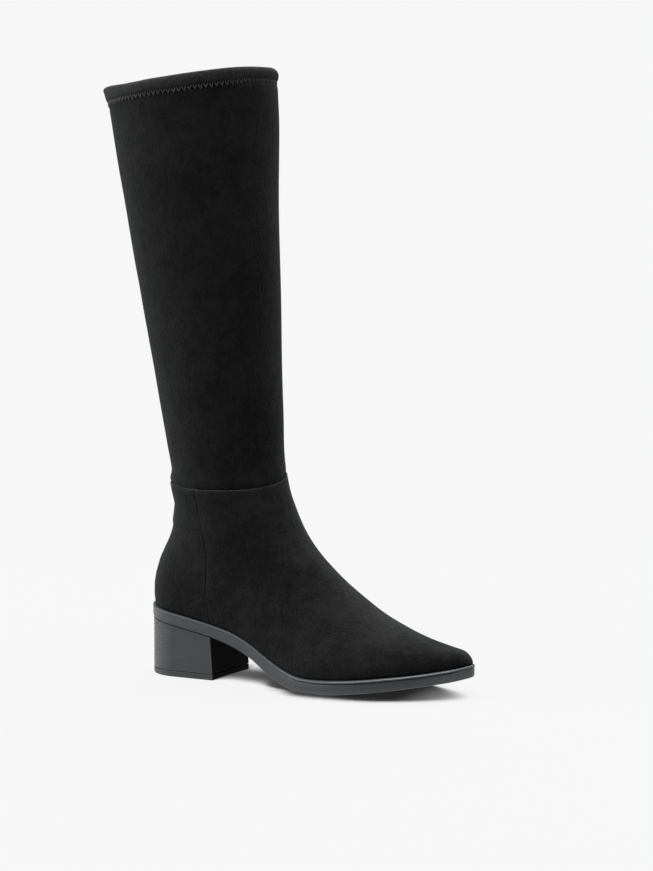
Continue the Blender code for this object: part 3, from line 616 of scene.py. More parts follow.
def new_material(name):
    """Return a material, its shader, object coordinates in millimetres and what adds its nodes."""
    material = bpy.data.materials.new(name)
    material.use_nodes = True
    tree = material.node_tree
    return material, tree.nodes["Principled BSDF"], pattern_place(tree), partial(add_node, tree)


def pattern_place(tree, scale=(1, 1, 1)):
    """Return object coordinates in millimetres, stretched by the scale."""
    place = add_node(tree, "ShaderNodeTexCoord").outputs["Object"]
    return add_node(tree, VECTOR_MATH, place, [part / MM for part in scale], operation="MULTIPLY")


print("mid grey in linear light:", round(hex_colour("#808080")[0], 3))

# %% [markdown]
# ## Suede
#
# Suede is leather, or here a fine microfibre, whose flesh side is sanded to a nap. Three things tell
# the eye that it isn't cloth or paint. It has no gloss, because light sinks between the fibres. It
# glows a little at grazing angles, because there the fibre tips catch the light: that is the shader's
# sheen. And its tone wanders, because the nap lies one way here and another way there, where a hand
# or a brush passed. Noise at four sizes gives that: patches of 20 to 40 mm, clouds of 10 mm, mottling
# of 3 mm and single tufts of about a millimetre, which are drawn a little coarser than real fibres so
# that they show at all. At a few listed spots light and shade are painted into the colour: painted
# light on the front of the vamp, the back of the heel and the ankle, painted shade at the instep, on
# the outer side, near the sole and on the toe, and on the shaft painted light on its outer side and
# painted shade towards its front and back.


# %% Suedes for the foot and the shaft
def painted_light_share(add, place, painted_spots):
    """Return painted light near each spot: its centre, reach and strength; a negative strength paints
    shade.
    """
    total = 0.0
    for centre, reach, strength in painted_spots:
        away = add(VECTOR_MATH, place, centre, operation="DISTANCE").outputs["Value"]
        total = add(
            MATH,
            total,
            add(MAP_RANGE, away, 0.15 * reach, reach, strength, 0.0, **SMOOTH),
            operation="ADD",
        )
    return total


def napped_suede(name, light, fibre, least_fibre, streak, patch_share, painted_spots):
    """Return a suede. Raw fibre shows at least this much; streak is the width of its mottling."""
    material, shader, even, add = new_material(name)
    streaked = pattern_place(material.node_tree, (1 / streak, 1 / streak, 1))
    patches = add(
        MAP_RANGE, add(NOISE, even, Scale=1 / 34.0, Detail=3.0), 0.36, 0.64, 0.0, patch_share, **SMOOTH
    )
    clouds = add(
        MAP_RANGE,
        add(NOISE, streaked, Scale=1 / 9.0, Detail=3.0, Roughness=0.6),
        0.36,
        0.64,
        0.0,
        0.36,
        **SMOOTH,
    )
    mottle = add(
        MAP_RANGE, add(NOISE, streaked, Scale=1 / 2.6, Detail=3.0, Roughness=0.7), 0.34, 0.66, **SMOOTH
    )
    tufts = add(
        MAP_RANGE, add(NOISE, streaked, Scale=1 / 1.2, Detail=3.0, Roughness=0.75), 0.33, 0.67, **SMOOTH
    )
    share = add(MATH, patches, clouds, operation="ADD")
    fine = add(MATH, mottle, 0.3, operation="MULTIPLY")
    finest = add(MATH, tufts, 0.48, operation="MULTIPLY")
    # The spots add painted light and shade to the nap's tone.
    for more in (fine, finest, painted_light_share(add, even, painted_spots), -0.19):
        share = add(MATH, share, more, operation="ADD")
    # Raw cut fibre is paler than the dyed nap, and the hem is drawn paler. An attribute says where.
    raw_fibre = add("ShaderNodeAttribute", attribute_name="raw_fibre").outputs["Fac"]
    ragged = add(
        MATH,
        raw_fibre,
        add(MAP_RANGE, tufts, 0.2, 0.7, least_fibre, 1.0, **SMOOTH),
        operation="MULTIPLY",
    )
    fill(
        shader,
        Base_Color=add(
            MIX, ragged, add(MIX, share, "#020203", light, data_type="RGBA"), fibre, data_type="RGBA"
        ),
        Roughness=0.92,
        Specular_IOR_Level=0.15,
        Sheen_Weight=0.34,
        Sheen_Roughness=0.42,
        Sheen_Tint=hex_colour("#8E9294"),
        Normal=add(
            BUMP,
            Height=tufts,
            Distance=0.22 * MM,
            Strength=0.8,
            Normal=add(BUMP, Height=mottle, Distance=0.3 * MM, Strength=0.7),
        ),
    )
    return material


# Spots of painted light and shade: centre in millimetres, reach, and lighter or darker.
FOOT_PAINTED_LIGHT_AND_SHADE = (
    ((150, -20, 50), 46, 0.25), ((118, -9, 78), 32, -0.14), ((52, -34, 86), 42, -0.28),
    ((72, -34, 44), 36, -0.16), ((2, -26, 92), 26, 0.34), ((56, -20, 132), 24, 0.28),
    ((140, -42, 16), 34, -0.22), ((206, -8, 34), 36, -0.34), ((222, -8, 28), 26, -0.2),
)
SHAFT_PAINTED_LIGHT_AND_SHADE = (
    ((38, -66, 400), 42, 0.16), ((45, -53, 308), 42, 0.1), ((46, -36, 195), 36, 0.08),
    ((76, -16, 400), 42, -0.06), ((72, -14, 310), 42, -0.1), ((70, -4, 195), 50, -0.26),
    ((-20, -60, 400), 50, -0.06),
)
suede = napped_suede(
    "black microfibre suede, sanded nap", "#202021", "#444445", 0.1, 1.0, 0.36, FOOT_PAINTED_LIGHT_AND_SHADE
)
stretch_name = "black stretch suede, knitted back, sanded nap"
stretch_suede = napped_suede(stretch_name, "#212122", "#767678", 0.5, 0.8, 0.3, SHAFT_PAINTED_LIGHT_AND_SHADE)
print("suedes:", suede.name, "/", stretch_suede.name)

# %% [markdown]
# ## Lining
#
# The boot is lined with brushed tricot, a fine warp knit with its face raised to a fleece. Only the
# inside of the shaft shows it. It reads as a dull black with faint ribs 1.2 mm apart, drawn twice as
# coarse as real wales so that they show.

# %% Brushed lining
lining, lining_shader, lining_place, add = new_material("brushed polyester tricot, raised face")
wales = add(WAVE, lining_place, bands_direction="DIAGONAL", Scale=0.26, Distortion=1.2).outputs["Fac"]
wale_fleece = add(
    MATH,
    wales,
    add(NOISE, lining_place, Scale=1 / 1.1, Detail=3.0, Roughness=0.6),
    operation="MULTIPLY",
)
fill(
    lining_shader,
    Base_Color=add(MIX, wale_fleece, "#121213", "#262627", data_type="RGBA"),
    Normal=add(BUMP, Height=wale_fleece, Distance=0.2 * MM, Strength=0.7),
    Roughness=0.95,
    Specular_IOR_Level=0.2,
    Sheen_Weight=0.3,
    Sheen_Roughness=0.6,
)
for piece, outer in ((vamp, suede), (heel_panel, suede), (shaft_piece, stretch_suede)):
    piece.data.materials.append(outer)
    piece.data.materials.append(lining)
print("lined pieces:", vamp.name, heel_panel.name, shaft_piece.name)

# %% [markdown]
# ## Stitches that follow a seam
#
# A machine lays stitches of one length along one line. Geometry Nodes do just that: the tree below
# turns a path into evenly spaced points and puts a small thread loop on each. The path carries the
# surface's normal, so that each loop lies flat. A swing angle that changes sign from loop to loop
# turns the same tree into a zigzag.


# %% Trees that follow a path
def path_object(points, normals, closed=False):
    """Return a line of points that carries the surface's normals."""
    edges = [(start, start + 1) for start in range(len(points) - 1)]
    if closed:
        edges.append((len(points) - 1, 0))
    path = new_object("path", points, [], edges)
    store(path, "surface_normal", normals, "FLOAT_VECTOR")
    return path


def new_tree(name, *numbers):
    """Return a Geometry Nodes tree that is given a path, these numbers and a material."""
    tree = bpy.data.node_groups.new(name, "GeometryNodeTree")
    kinds = {"Geometry": "NodeSocketGeometry", "Material": "NodeSocketMaterial"}
    for label in ("Geometry", *numbers, "Material"):
        kind = kinds.get(label, "NodeSocketFloat")
        tree.interface.new_socket(label, in_out="INPUT", socket_type=kind)
    tree.interface.new_socket("Geometry", in_out="OUTPUT", socket_type=kinds["Geometry"])
    return tree, add_node(tree, "NodeGroupInput").outputs


def spaced_points(tree, given, spacing):
    """Return points along the path this far apart, its surface normal and its tangent."""
    line = add_node(tree, "GeometryNodeMeshToCurve", given["Geometry"])
    points = add_node(tree, "GeometryNodeResampleCurve", mode="LENGTH", Curve=line, Length=spacing)
    normal = add_node(
        tree, "GeometryNodeInputNamedAttribute", data_type="FLOAT_VECTOR", Name="surface_normal"
    )
    return points, normal, add_node(tree, "GeometryNodeInputTangent")


def finish_tree(tree, given, geometry):
    """Make the result real, smooth and of the material that the tree is given."""
    real = add_node(tree, "GeometryNodeRealizeInstances", geometry)
    smooth = add_node(tree, "GeometryNodeSetShadeSmooth", real)
    dressed = add_node(tree, "GeometryNodeSetMaterial", smooth, Material=given["Material"])
    add_node(tree, "NodeGroupOutput", dressed)


def plain_mesh(helper):
    """Return what a helper object makes as a mesh of its own, and remove the helper."""
    graph = bpy.context.evaluated_depsgraph_get()
    mesh = bpy.data.meshes.new_from_object(helper.evaluated_get(graph), depsgraph=graph)
    bpy.data.objects.remove(helper, do_unlink=True)
    return mesh


def grow(name, source, tree, values):
    """Run a tree on the source and keep the result as a plain mesh."""
    modifier = source.modifiers.new(tree.name, "NODES")
    modifier.node_group = tree
    for socket in tree.interface.items_tree:
        if socket.in_out == "INPUT" and socket.name in values:
            modifier[socket.identifier] = values[socket.name]
    mesh = plain_mesh(source)
    mesh.name = name
    print(name, "has", len(mesh.polygons), "faces")
    return add_object(name, mesh)


# %% The tree of a seam
seam_tree, seam = new_tree("stitches along a seam", "Spacing", "Length", "Thickness", "Swing", "Wander")
seam_points, seam_normal, seam_tangent = spaced_points(seam_tree, seam, seam["Spacing"])
add = partial(add_node, seam_tree)
align = "FunctionNodeAlignRotationToVector"
along_seam = add(align, axis="Z", Vector=seam_tangent)
flat_on_seam = add(align, axis="Y", pivot_axis="Z", Rotation=along_seam, Vector=seam_normal)
# Every second loop swings the other way: the index is even or odd.
odd = add(MATH, add("GeometryNodeInputIndex"), 2.0, operation="MODULO")
side = add(MATH, add(MATH, odd, 2.0, operation="MULTIPLY"), 1.0, operation="SUBTRACT")
# No two loops are pulled alike. The seed is fixed, so every run gives the same seam.
chance = add("FunctionNodeRandomValue", -0.2, 0.2, data_type="FLOAT", Seed=7)
stray = add(MATH, chance, seam["Wander"], operation="MULTIPLY")
swing_angle = add(MATH, add(MATH, side, seam["Swing"], operation="MULTIPLY"), stray, operation="ADD")
swing = add("FunctionNodeAxisAngleToRotation", Axis=(0, 1, 0), Angle=swing_angle)
turned = add(
    "FunctionNodeRotateRotation", rotation_space="LOCAL", Rotation=flat_on_seam, Rotate_By=swing
)
half_thick = add(MATH, seam["Thickness"], 0.5, operation="MULTIPLY")
half_long = add(
    MATH,
    add(MATH, seam["Length"], 0.5, operation="MULTIPLY"),
    add(MATH, stray, 1.0, operation="ADD"),
    operation="MULTIPLY",
)
loops = add(
    "GeometryNodeInstanceOnPoints",
    Points=seam_points,
    Instance=add("GeometryNodeMeshUVSphere", Segments=6, Rings=5, Radius=1.0),
    Rotation=turned,
    Scale=add("ShaderNodeCombineXYZ", half_thick, half_thick, half_long),
)
finish_tree(seam_tree, seam, loops)
print("nodes in the seam tree:", len(seam_tree.nodes))

# %% [markdown]
# ## Thread
#
# Filament polyester thread is twisted from smooth fibres, so it is glossier than suede and catches
# small lights. The hem's zigzag is sewn in a greyer thread than the black rows beside the zip.


# %% Threads and stitches
def sewing_thread(name, colour):
    """Return a thread with its twist, about 0.4 mm from ply to ply."""
    material, shader, place, add = new_material(name)
    twist = add(WAVE, place, bands_direction="DIAGONAL", Scale=0.8).outputs["Fac"]
    dark = (*(0.55 * part for part in hex_colour(colour)[:3]), 1.0)
    shade = add(
        MIX,
        add(MATH, twist, add(NOISE, place, Scale=1 / 4.0), operation="MULTIPLY"),
        dark,
        colour,
        data_type="RGBA",
    )
    fill(
        shader,
        Base_Color=shade,
        Normal=add(BUMP, Height=twist, Distance=0.08 * MM, Strength=0.6),
        Roughness=0.5,
        Sheen_Weight=0.3,
    )
    return material


black_thread = sewing_thread("black polyester thread, twisted", "#151516")
grey_thread = sewing_thread("grey polyester thread, twisted", "#707071")


def stitch_form(thread, spacing, length, thickness, swing, wander):
    """Return what the seam tree is given. Sizes are in millimetres, the swing in radians."""
    sizes = {"Spacing": spacing * MM, "Length": length * MM, "Thickness": thickness * MM}
    return {**sizes, "Swing": float(swing), "Wander": wander, "Material": thread}


def path_on_last(levels, turns, depths, closed=False):
    return path_object(laid(levels, turns, depths), directions(levels, turns)[2], closed)


# %% Sew the seams
ZIGZAG_LEVEL, ZIGZAG_STEP, ZIGZAG_HEIGHT = TOP_LEVEL - 10.9, 1.95, 4.6
zigzag_length = 1.12 * np.hypot(ZIGZAG_STEP, ZIGZAG_HEIGHT)
zigzag_swing = np.arctan2(ZIGZAG_HEIGHT, ZIGZAG_STEP)
zigzag = stitch_form(grey_thread, ZIGZAG_STEP, zigzag_length, 0.58, zigzag_swing, 1.0)
lockstitch = stitch_form(black_thread, 3.0, 2.5, 0.42, 0.0, 0.25)

around = np.linspace(0, 2 * pi, 480, endpoint=False)
hem_depth_there = shaft_depth(ZIGZAG_LEVEL) - 0.05
hem_line = path_on_last(hem_level(ZIGZAG_LEVEL, around), around, hem_depth_there, closed=True)
hem_zigzag = grow("hem_zigzag", hem_line, seam_tree, zigzag)

BELOW_ANKLE = 1.9
ankle_level = SEAM_LEVEL - BELOW_ANKLE
ankle_turns = np.linspace(zip_turn(ankle_level, 5.4), 2 * pi + zip_turn(ankle_level, -5.4), 300)
ankle_line = path_on_last(
    seam_level(ankle_level, ankle_turns), ankle_turns, ankle_depth(-BELOW_ANKLE) + 0.14
)
ankle_stitches = grow("ankle_stitches", ankle_line, seam_tree, lockstitch)


def zip_path(low, high, aside, depth_at):
    """Return a path beside the zip, this far behind its middle line."""
    levels = np.linspace(low, high, int((high - low) / 2.5) + 2)
    return path_on_last(levels, zip_turn(levels, aside), depth_at(levels))


zip_rows = []
for side_name, aside in (("back", 5.3), ("front", -5.3)):
    foot_path = zip_path(ZIP_BOTTOM - 2, SEAM_LEVEL - 3.2, aside, lambda levels: 0.0)
    zip_rows.append(grow(f"zip_stitches_foot_{side_name}", foot_path, seam_tree, lockstitch))
    leg_path = zip_path(SEAM_LEVEL + 3.0, ZIP_TOP + 3, aside, shaft_depth)
    zip_rows.append(grow(f"zip_stitches_leg_{side_name}", leg_path, seam_tree, lockstitch))

# %% [markdown]
# ## The zip
#
# A coil zip is a nylon wire wound into two flattened coils, one sewn to the edge of each tape, that
# catch in each other. So the teeth are made as what they are: a path is pushed round by the sine and
# cosine of its own length, and the curve becomes a wire. The second coil starts half a pitch later,
# so its loops fall between those of the first.

# %% The tape
TAPE_WIDTH, TAPE_THICKNESS, TAPE_END = 26.0, 0.7, 5.0
TAPE_ROWS, TAPE_COLUMNS = 110, 15
# Depth of the tape's face below the last: above the ankle seam, depth.
TAPE_DEPTH = (
    (-120, 2.3), (-16, 2.3), (-10, 3.95), (1, 3.95), (8, 2.2), (16, 1.75), (120, 1.75),
)
tape_depth_above = table_curve(TAPE_DEPTH)


def tape_depth(level):
    return tape_depth_above(level - SEAM_LEVEL)


# Columns run towards the back here, so the winding is the last's own.
tape_asides = np.linspace(-TAPE_WIDTH / 2, TAPE_WIDTH / 2, TAPE_COLUMNS)
tape_levels = np.linspace(ZIP_BOTTOM - TAPE_END, ZIP_TOP + TAPE_END, TAPE_ROWS)
tape_rows = [laid(level, zip_turn(level, tape_asides), tape_depth(level)) for level in tape_levels]
tape = new_object("zip_woven_tape", np.concatenate(tape_rows), grid_faces(TAPE_ROWS, TAPE_COLUMNS))
set_up(tape.modifiers.new("wall", "SOLIDIFY"), thickness=TAPE_THICKNESS * MM, offset=-1)

tape_cloth, tape_shader, tape_place, add = new_material("black polyester zip tape, twill woven")
twill = add(WAVE, tape_place, bands_direction="DIAGONAL", Scale=0.45, Distortion=0.4).outputs["Fac"]
tape_colour = add(MIX, twill, "#0B0B0C", "#222223", data_type="RGBA")
fill(
    tape_shader,
    Base_Color=tape_colour,
    Normal=add(BUMP, Height=twill, Distance=0.15 * MM, Strength=0.8),
    Roughness=0.8,
)
tape.data.materials.append(tape_cloth)
print("zip tape:", len(tape.data.polygons), "quads in", tape_cloth.name)


# %% The two coils
def bar_along(tree, line, radius, sides):
    """Return a closed round bar along a line."""
    circle = add_node(tree, "GeometryNodeCurvePrimitiveCircle", Resolution=sides, Radius=radius)
    sockets = {"Curve": line, "Profile Curve": circle, "Fill Caps": True}
    return add_node(tree, "GeometryNodeCurveToMesh", **sockets)


coil_tree, coil = new_tree("coil of a zip", "Across", "Out", "Pitch", "Wire", "Start")
add = partial(add_node, coil_tree)
coil_step = add(MATH, coil["Pitch"], 10.0, operation="DIVIDE")
coil_points, coil_normal, coil_tangent = spaced_points(coil_tree, coil, coil_step)
walked = add("GeometryNodeSplineParameter").outputs["Length"]
angle = add(
    MATH,
    add(MATH, add(MATH, walked, coil["Pitch"], operation="DIVIDE"), coil["Start"], operation="ADD"),
    2 * pi,
    operation="MULTIPLY",
)
coil_side = add(VECTOR_MATH, coil_tangent, coil_normal, operation="CROSS_PRODUCT")
side_move = add(
    VECTOR_MATH,
    coil_side,
    operation="SCALE",
    Scale=add(MATH, add(MATH, angle, operation="COSINE"), coil["Across"], operation="MULTIPLY"),
)
out_move = add(
    VECTOR_MATH,
    coil_normal,
    operation="SCALE",
    Scale=add(MATH, add(MATH, angle, operation="SINE"), coil["Out"], operation="MULTIPLY"),
)
wound = add(
    "GeometryNodeSetPosition",
    coil_points,
    Offset=add(VECTOR_MATH, side_move, out_move, operation="ADD"),
)
finish_tree(coil_tree, coil, bar_along(coil_tree, wound, coil["Wire"], 5))

nylon, nylon_shader, nylon_place, add = new_material("black nylon monofilament, drawn")
nylon_worn = add(NOISE, nylon_place, Scale=1 / 2.5)
nylon_rough = add(MAP_RANGE, nylon_worn, 0.3, 0.7, 0.26, 0.42, **SMOOTH)
nylon_colour = add(MIX, nylon_worn, "#141415", "#2C2C2E", data_type="RGBA")
fill(nylon_shader, Base_Color=nylon_colour, Roughness=nylon_rough, IOR=1.53)

COIL_ASIDE, COIL_HALF_WIDTH, CHAIN_THICKNESS, CHAIN_END = 1.15, 1.25, 1.5, 1.0
coils = []
for side_name, sign, start in (("back", 1, 0.0), ("front", -1, 0.5)):
    coil_path = zip_path(
        ZIP_BOTTOM + CHAIN_END,
        ZIP_TOP - CHAIN_END,
        sign * COIL_ASIDE,
        lambda levels: tape_depth(levels) - FIT - CHAIN_THICKNESS / 2,
    )
    sizes = {"Across": sign * COIL_HALF_WIDTH * MM, "Out": 0.52 * MM, "Pitch": 1.6 * MM, "Wire": 0.3 * MM}
    winding = {**sizes, "Start": start, "Material": nylon}
    coils.append(grow(f"zip_coil_{side_name}", coil_path, coil_tree, winding))

# %% [markdown]
# ## Slider and pull tab
#
# The slider is die cast, lacquered black, and wide where the tapes part above it. Its bridge holds
# the pull tab, which is stamped from sheet with a window in it. The tab is the one hard piece that
# moves: it hangs from the bridge and swings up about its bar. It is made in the slider's own frame,
# with X across the zip, Y up it and Z out of the boot, round the hinge that the model's record names.

# %% The slider's frame
SLIDER_LEVEL, SLIDER_LENGTH, SLIDER_LIFT, SLIDER_HEIGHT = 232.0, 11.0, 0.45, 2.2
BRIDGE_OPENING, BRIDGE_BAR, BRIDGE_LENGTH = 2.2, 1.1, 7.6
HINGE_HEIGHT = SLIDER_LIFT + SLIDER_HEIGHT + BRIDGE_OPENING / 2

slider_levels = SLIDER_LEVEL + SLIDER_LENGTH / 2 * np.array([-1.0, 0.0, 1.0])
slider_turns = zip_turn(slider_levels)
slider_line = surface(slider_levels, slider_turns)
slider_up = Vector(slider_line[2] - slider_line[0]).normalized()
slider_across = slider_up.cross(Vector(directions(slider_levels, slider_turns)[2][1])).normalized()
slider_out = slider_across.cross(slider_up)
hinge = frame["joints"][0]
slider_place = Matrix((slider_across, slider_up, slider_out)).transposed().to_4x4()
slider_place.translation = Vector(hinge["pos_m"]) - slider_out * HINGE_HEIGHT * MM
print("hinge's axis against the slider's:", round(Vector(hinge["axis"]).dot(slider_across), 5))


# %% Shapes in the slider's frame
def in_slider(name, sheet, place=slider_place):
    """Return an object from a bmesh whose points are in millimetres in the slider's frame."""
    bmesh.ops.recalc_face_normals(sheet, faces=sheet.faces)
    mesh = bpy.data.meshes.new(name)
    sheet.to_mesh(mesh)
    sheet.free()
    mesh.transform(place @ Matrix.Scale(MM, 4))
    mesh.shade_smooth()
    mesh.set_sharp_from_angle(angle=radians(40))
    return add_object(name, mesh)


def bridge_rings(sheet, rings):
    """Join closed rings of points into a solid with both ends shut."""
    rings = [[sheet.verts.new(point) for point in ring] for ring in rings]
    for low, high in zip(rings[:-1], rings[1:]):
        for start in range(len(low)):
            end = (start + 1) % len(low)
            sheet.faces.new((low[start], low[end], high[end], high[start]))
    sheet.faces.new(rings[0][::-1])
    sheet.faces.new(rings[-1])


def extrude_outline(sheet, outline_points, low, high):
    """Add a closed plate between two heights."""
    bridge_rings(sheet, [[(x, y, z) for x, y in outline_points] for z in (low, high)])


def mirrored(half):
    """Return the outline whose right half this is, from the top to the bottom."""
    return half + [(-x, y) for x, y in half[::-1] if x > 1e-6]


def arc(middle, radius, start, end):
    """Return points round a corner, from one angle to another in degrees."""
    angles = np.radians(np.linspace(start, end, 7))
    return [(middle[0] + radius * cos(angle), middle[1] + radius * sin(angle)) for angle in angles]


# %% Cast the slider
slider_half = [(1.2, 5.45), (2.9, 5.3), (3.6, 4.4), (3.68, 2.0), (3.4, -0.6), (3.0, -3.4), (2.6, -5.0)]
slider_half += [(1.9, -5.45)]
inner_half = [(x * 0.74, y * 0.82) for x, y in slider_half]
slider_sheet = bmesh.new()
plate_top = SLIDER_LIFT + SLIDER_HEIGHT
extrude_outline(slider_sheet, mirrored(slider_half), SLIDER_LIFT, plate_top)
extrude_outline(slider_sheet, mirrored(inner_half), plate_top - 0.3, plate_top + 0.22)
# The bridge is a bar bent over the hinge: its section is carried along an arch.
bridge_foot = BRIDGE_BAR / 2 - BRIDGE_LENGTH / 2
arch_path = [(bridge_foot, plate_top - 0.4), (bridge_foot, plate_top + 1.3)]
arch_path += arc((bridge_foot + 1.35, plate_top + 1.4), 1.35, 180, 90)
arch_path += [(-y, z) for y, z in arch_path[::-1]]
bar_section = [(-0.75, 1), *mirrored([(0.75, 1), (1.1, 0.45), (1.1, -0.45), (0.75, -1)])[:-1]]
bar_rings = []
for at, (y, z) in enumerate(arch_path):
    before, after = arch_path[max(at - 1, 0)], arch_path[min(at + 1, len(arch_path) - 1)]
    run = Vector((after[0] - before[0], after[1] - before[1])).normalized()
    thick = Vector((-run.y, run.x)) * BRIDGE_BAR / 2
    bar_rings.append([(x, y + thick.x * side, z + thick.y * side) for x, side in bar_section])
bridge_rings(slider_sheet, bar_rings)
slider = in_slider("slider_and_bridge", slider_sheet)
worn_edges = set_up(slider.modifiers.new("worn edges", "BEVEL"), width=0.28 * MM, segments=2)
set_up(worn_edges, limit_method="ANGLE", angle_limit=radians(40))
print("slider:", len(slider.data.polygons), "faces before its edges are worn")


# %% Stamp the pull tab
def stamped(outlines, thickness, edge):
    """Return a flat plate with holes and rounded edges, in millimetres, as a bmesh."""
    flat = set_up(bpy.data.curves.new("stamped plate", "CURVE"), dimensions="2D", fill_mode="BOTH")
    set_up(flat, extrude=thickness / 2 - edge, bevel_depth=edge, bevel_resolution=2, offset=-edge)
    for outline_points in outlines:
        spline = flat.splines.new("POLY")
        spline.points.add(len(outline_points) - 1)
        for point, (x, y) in zip(spline.points, outline_points):
            point.co = (x, y, 0.0, 1.0)
        spline.use_cyclic_u = True
    sheet = bmesh.new()
    sheet.from_mesh(plain_mesh(add_object("stamped plate", flat)))
    bmesh.ops.remove_doubles(sheet, verts=sheet.verts, dist=0.001)
    return sheet


PULL_LENGTH, PULL_WIDTH, PULL_TIP_WIDTH, PULL_SHOULDER = 22.0, 6.4, 4.8, 7.0
PULL_BAR, PULL_THICKNESS, WINDOW_WIDTH, WINDOW_LENGTH = 1.1, 1.2, 3.2, 4.4
tab_top, tip_radius, window_side = PULL_BAR / 2, PULL_TIP_WIDTH / 2, WINDOW_WIDTH / 2
window_end = -tab_top - WINDOW_LENGTH
tab_half = [(PULL_WIDTH / 2 - 0.5, tab_top), (PULL_WIDTH / 2, tab_top - 0.5), (PULL_WIDTH / 2, -3.2)]
tab_half += [(PULL_WIDTH / 2, -PULL_SHOULDER), (tip_radius + 0.1, -PULL_LENGTH * 0.62)]
tab_half += arc((0.0, tip_radius - PULL_LENGTH), tip_radius, 0, -90)
window_half = [(window_side - 0.3, -tab_top), (window_side, -tab_top - 0.3)]
window_half += [(window_side, window_end + 0.6), (window_side - 0.6, window_end)]
pull_sheet = stamped((mirrored(tab_half), mirrored(window_half)), PULL_THICKNESS, 0.22)
pull_place = slider_place @ Matrix.Translation((0, 0, HINGE_HEIGHT * MM))
pull_tab = in_slider("pull_tab_plate", pull_sheet, pull_place)
print("pull tab:", len(pull_tab.data.polygons), "faces")

# %% [markdown]
# ## Lacquered metal
#
# The casting is zinc. It is dipped in black lacquer and baked, so what shows is a smooth dark coat
# with a clear gloss, rubbed a little brighter where the fingers take it.

# %% Lacquer
lacquer, lacquer_shader, lacquer_place, add = new_material("black baked lacquer on die cast zinc")
paler_share = add(MAP_RANGE, add(NOISE, lacquer_place, Scale=1 / 1.8, Detail=3.0), 0.45, 0.7, **SMOOTH)
fill(
    lacquer_shader,
    Base_Color=add(MIX, paler_share, "#1C1C1E", "#38383B", data_type="RGBA"),
    Roughness=add(MAP_RANGE, paler_share, 0.0, 1.0, 0.3, 0.45, **SMOOTH),
    Metallic=0.75,
    Coat_Weight=0.4,
    Coat_Roughness=0.2,
)
for piece in (slider, pull_tab):
    piece.data.materials.append(lacquer)
print("lacquered pieces:", slider.name, pull_tab.name)

# %% [markdown]
# ## The moulded sole
#
# The sole is one moulding of dark grey rubber. Round the heel and arch it is a plain band. From the
# arch forward it copies a welted sole: a thin ledge stands out above a groove, over a plain side wall.
# A section of that wall is a table of heights and outsets, and the sole is the section carried round
# the outline of the foot. The underside is recessed inside a flush border.

# %% Section of the sole
SOLE_COLUMNS = 280
BAND_PROUD = 1.8
LEDGE_START, LEDGE_FULL = 114.0, 154.0
# Share of the sole's thickness, outset of the plain band, outset of the forefoot, lift.
SOLE_SECTION = (
    (0, -5.8, -5.8, 1.1), (0, -5.2, -5.2, 1.1), (0, -4.9, -4.9, 0.1), (0, -4.6, -4.6, 0), (0, -1, -1, 0),
    (0, 0.1, 0.2, 0), (0.012, 0.75, 0.85, 0), (0.04, 1.25, 1.35, 0), (0.08, 1.55, 1.7, 0),
    (0.14, 1.72, 1.95, 0), (0.3, BAND_PROUD, 2.1, 0), (0.5, BAND_PROUD, 2.1, 0),
    (0.7, BAND_PROUD, 2.05, 0), (0.745, BAND_PROUD, 1.95, 0), (0.76, BAND_PROUD, 1.55, 0),
    (0.775, BAND_PROUD, 1.45, 0), (0.79, BAND_PROUD, 1.55, 0), (0.8, BAND_PROUD, 2.2, 0),
    (0.82, BAND_PROUD, 2.5, 0), (0.86, BAND_PROUD, 2.65, 0), (0.9, BAND_PROUD, 2.6, 0),
    (0.94, 1.75, 2.35, 0), (0.97, 1.6, 1.95, 0), (0.99, 1.35, 1.4, 0), (1, 0.95, 0.9, 0),
    (1, 0.2, 0.3, 0), (1, -2.6, -2.6, 0),
)


def outline(turn, outset=0.0):
    """Return x and y of the upper's lower edge, moved outwards by the outset."""
    step = 0.004
    along = (surface(EDGE_LEVEL, turn + step) - surface(EDGE_LEVEL, turn - step))[:, :2]
    outward = normalised(np.stack([along[:, 1], -along[:, 0]], axis=-1))
    return surface(EDGE_LEVEL, turn)[:, :2] + outward * np.reshape(outset, (-1, 1))


def at_height(plan, height):
    """Return points of a plan at this height, or at a height for each."""
    return np.column_stack([plan, np.broadcast_to(height, len(plan))])


def mirrored_turns(count):
    """Return turns spaced evenly along the outline, the same on both sides."""
    half = spread_turns(EDGE_LEVEL, 0, pi, np.linspace(0, 1, count // 2 + 1), 600)
    return np.concatenate([half, 2 * pi - half[-2:0:-1]])


def ladder_faces(count, first, upward):
    """Return a cap that joins each point of a ring to the one across from it."""
    faces = []
    for point in range(count // 2):
        ring = [point, point + 1, (count - point - 1) % count, (count - point) % count]
        ring = [first + place for place in dict.fromkeys(ring)]
        faces.append(ring if upward else ring[::-1])
    return faces


def moulding(name, rings):
    """Return a solid whose rings run the way the last turns, with both ends shut."""
    count = len(rings[0])
    faces = grid_faces(len(rings), count, closed=True) + ladder_faces(count, 0, upward=False)
    faces += ladder_faces(count, (len(rings) - 1) * count, upward=True)
    return new_object(name, np.concatenate(rings), faces)


# %% Carry the section round the sole
sole_turns = mirrored_turns(SOLE_COLUMNS)
sole_x = outline(sole_turns)[:, 0]
forefoot = ramp(sole_x, LEDGE_START, LEDGE_FULL)
# The ledge draws in where it rounds the tip of the toe.
at_tip = 1 - 0.55 * ramp(sole_x, LENGTH - 14, LENGTH - 3)
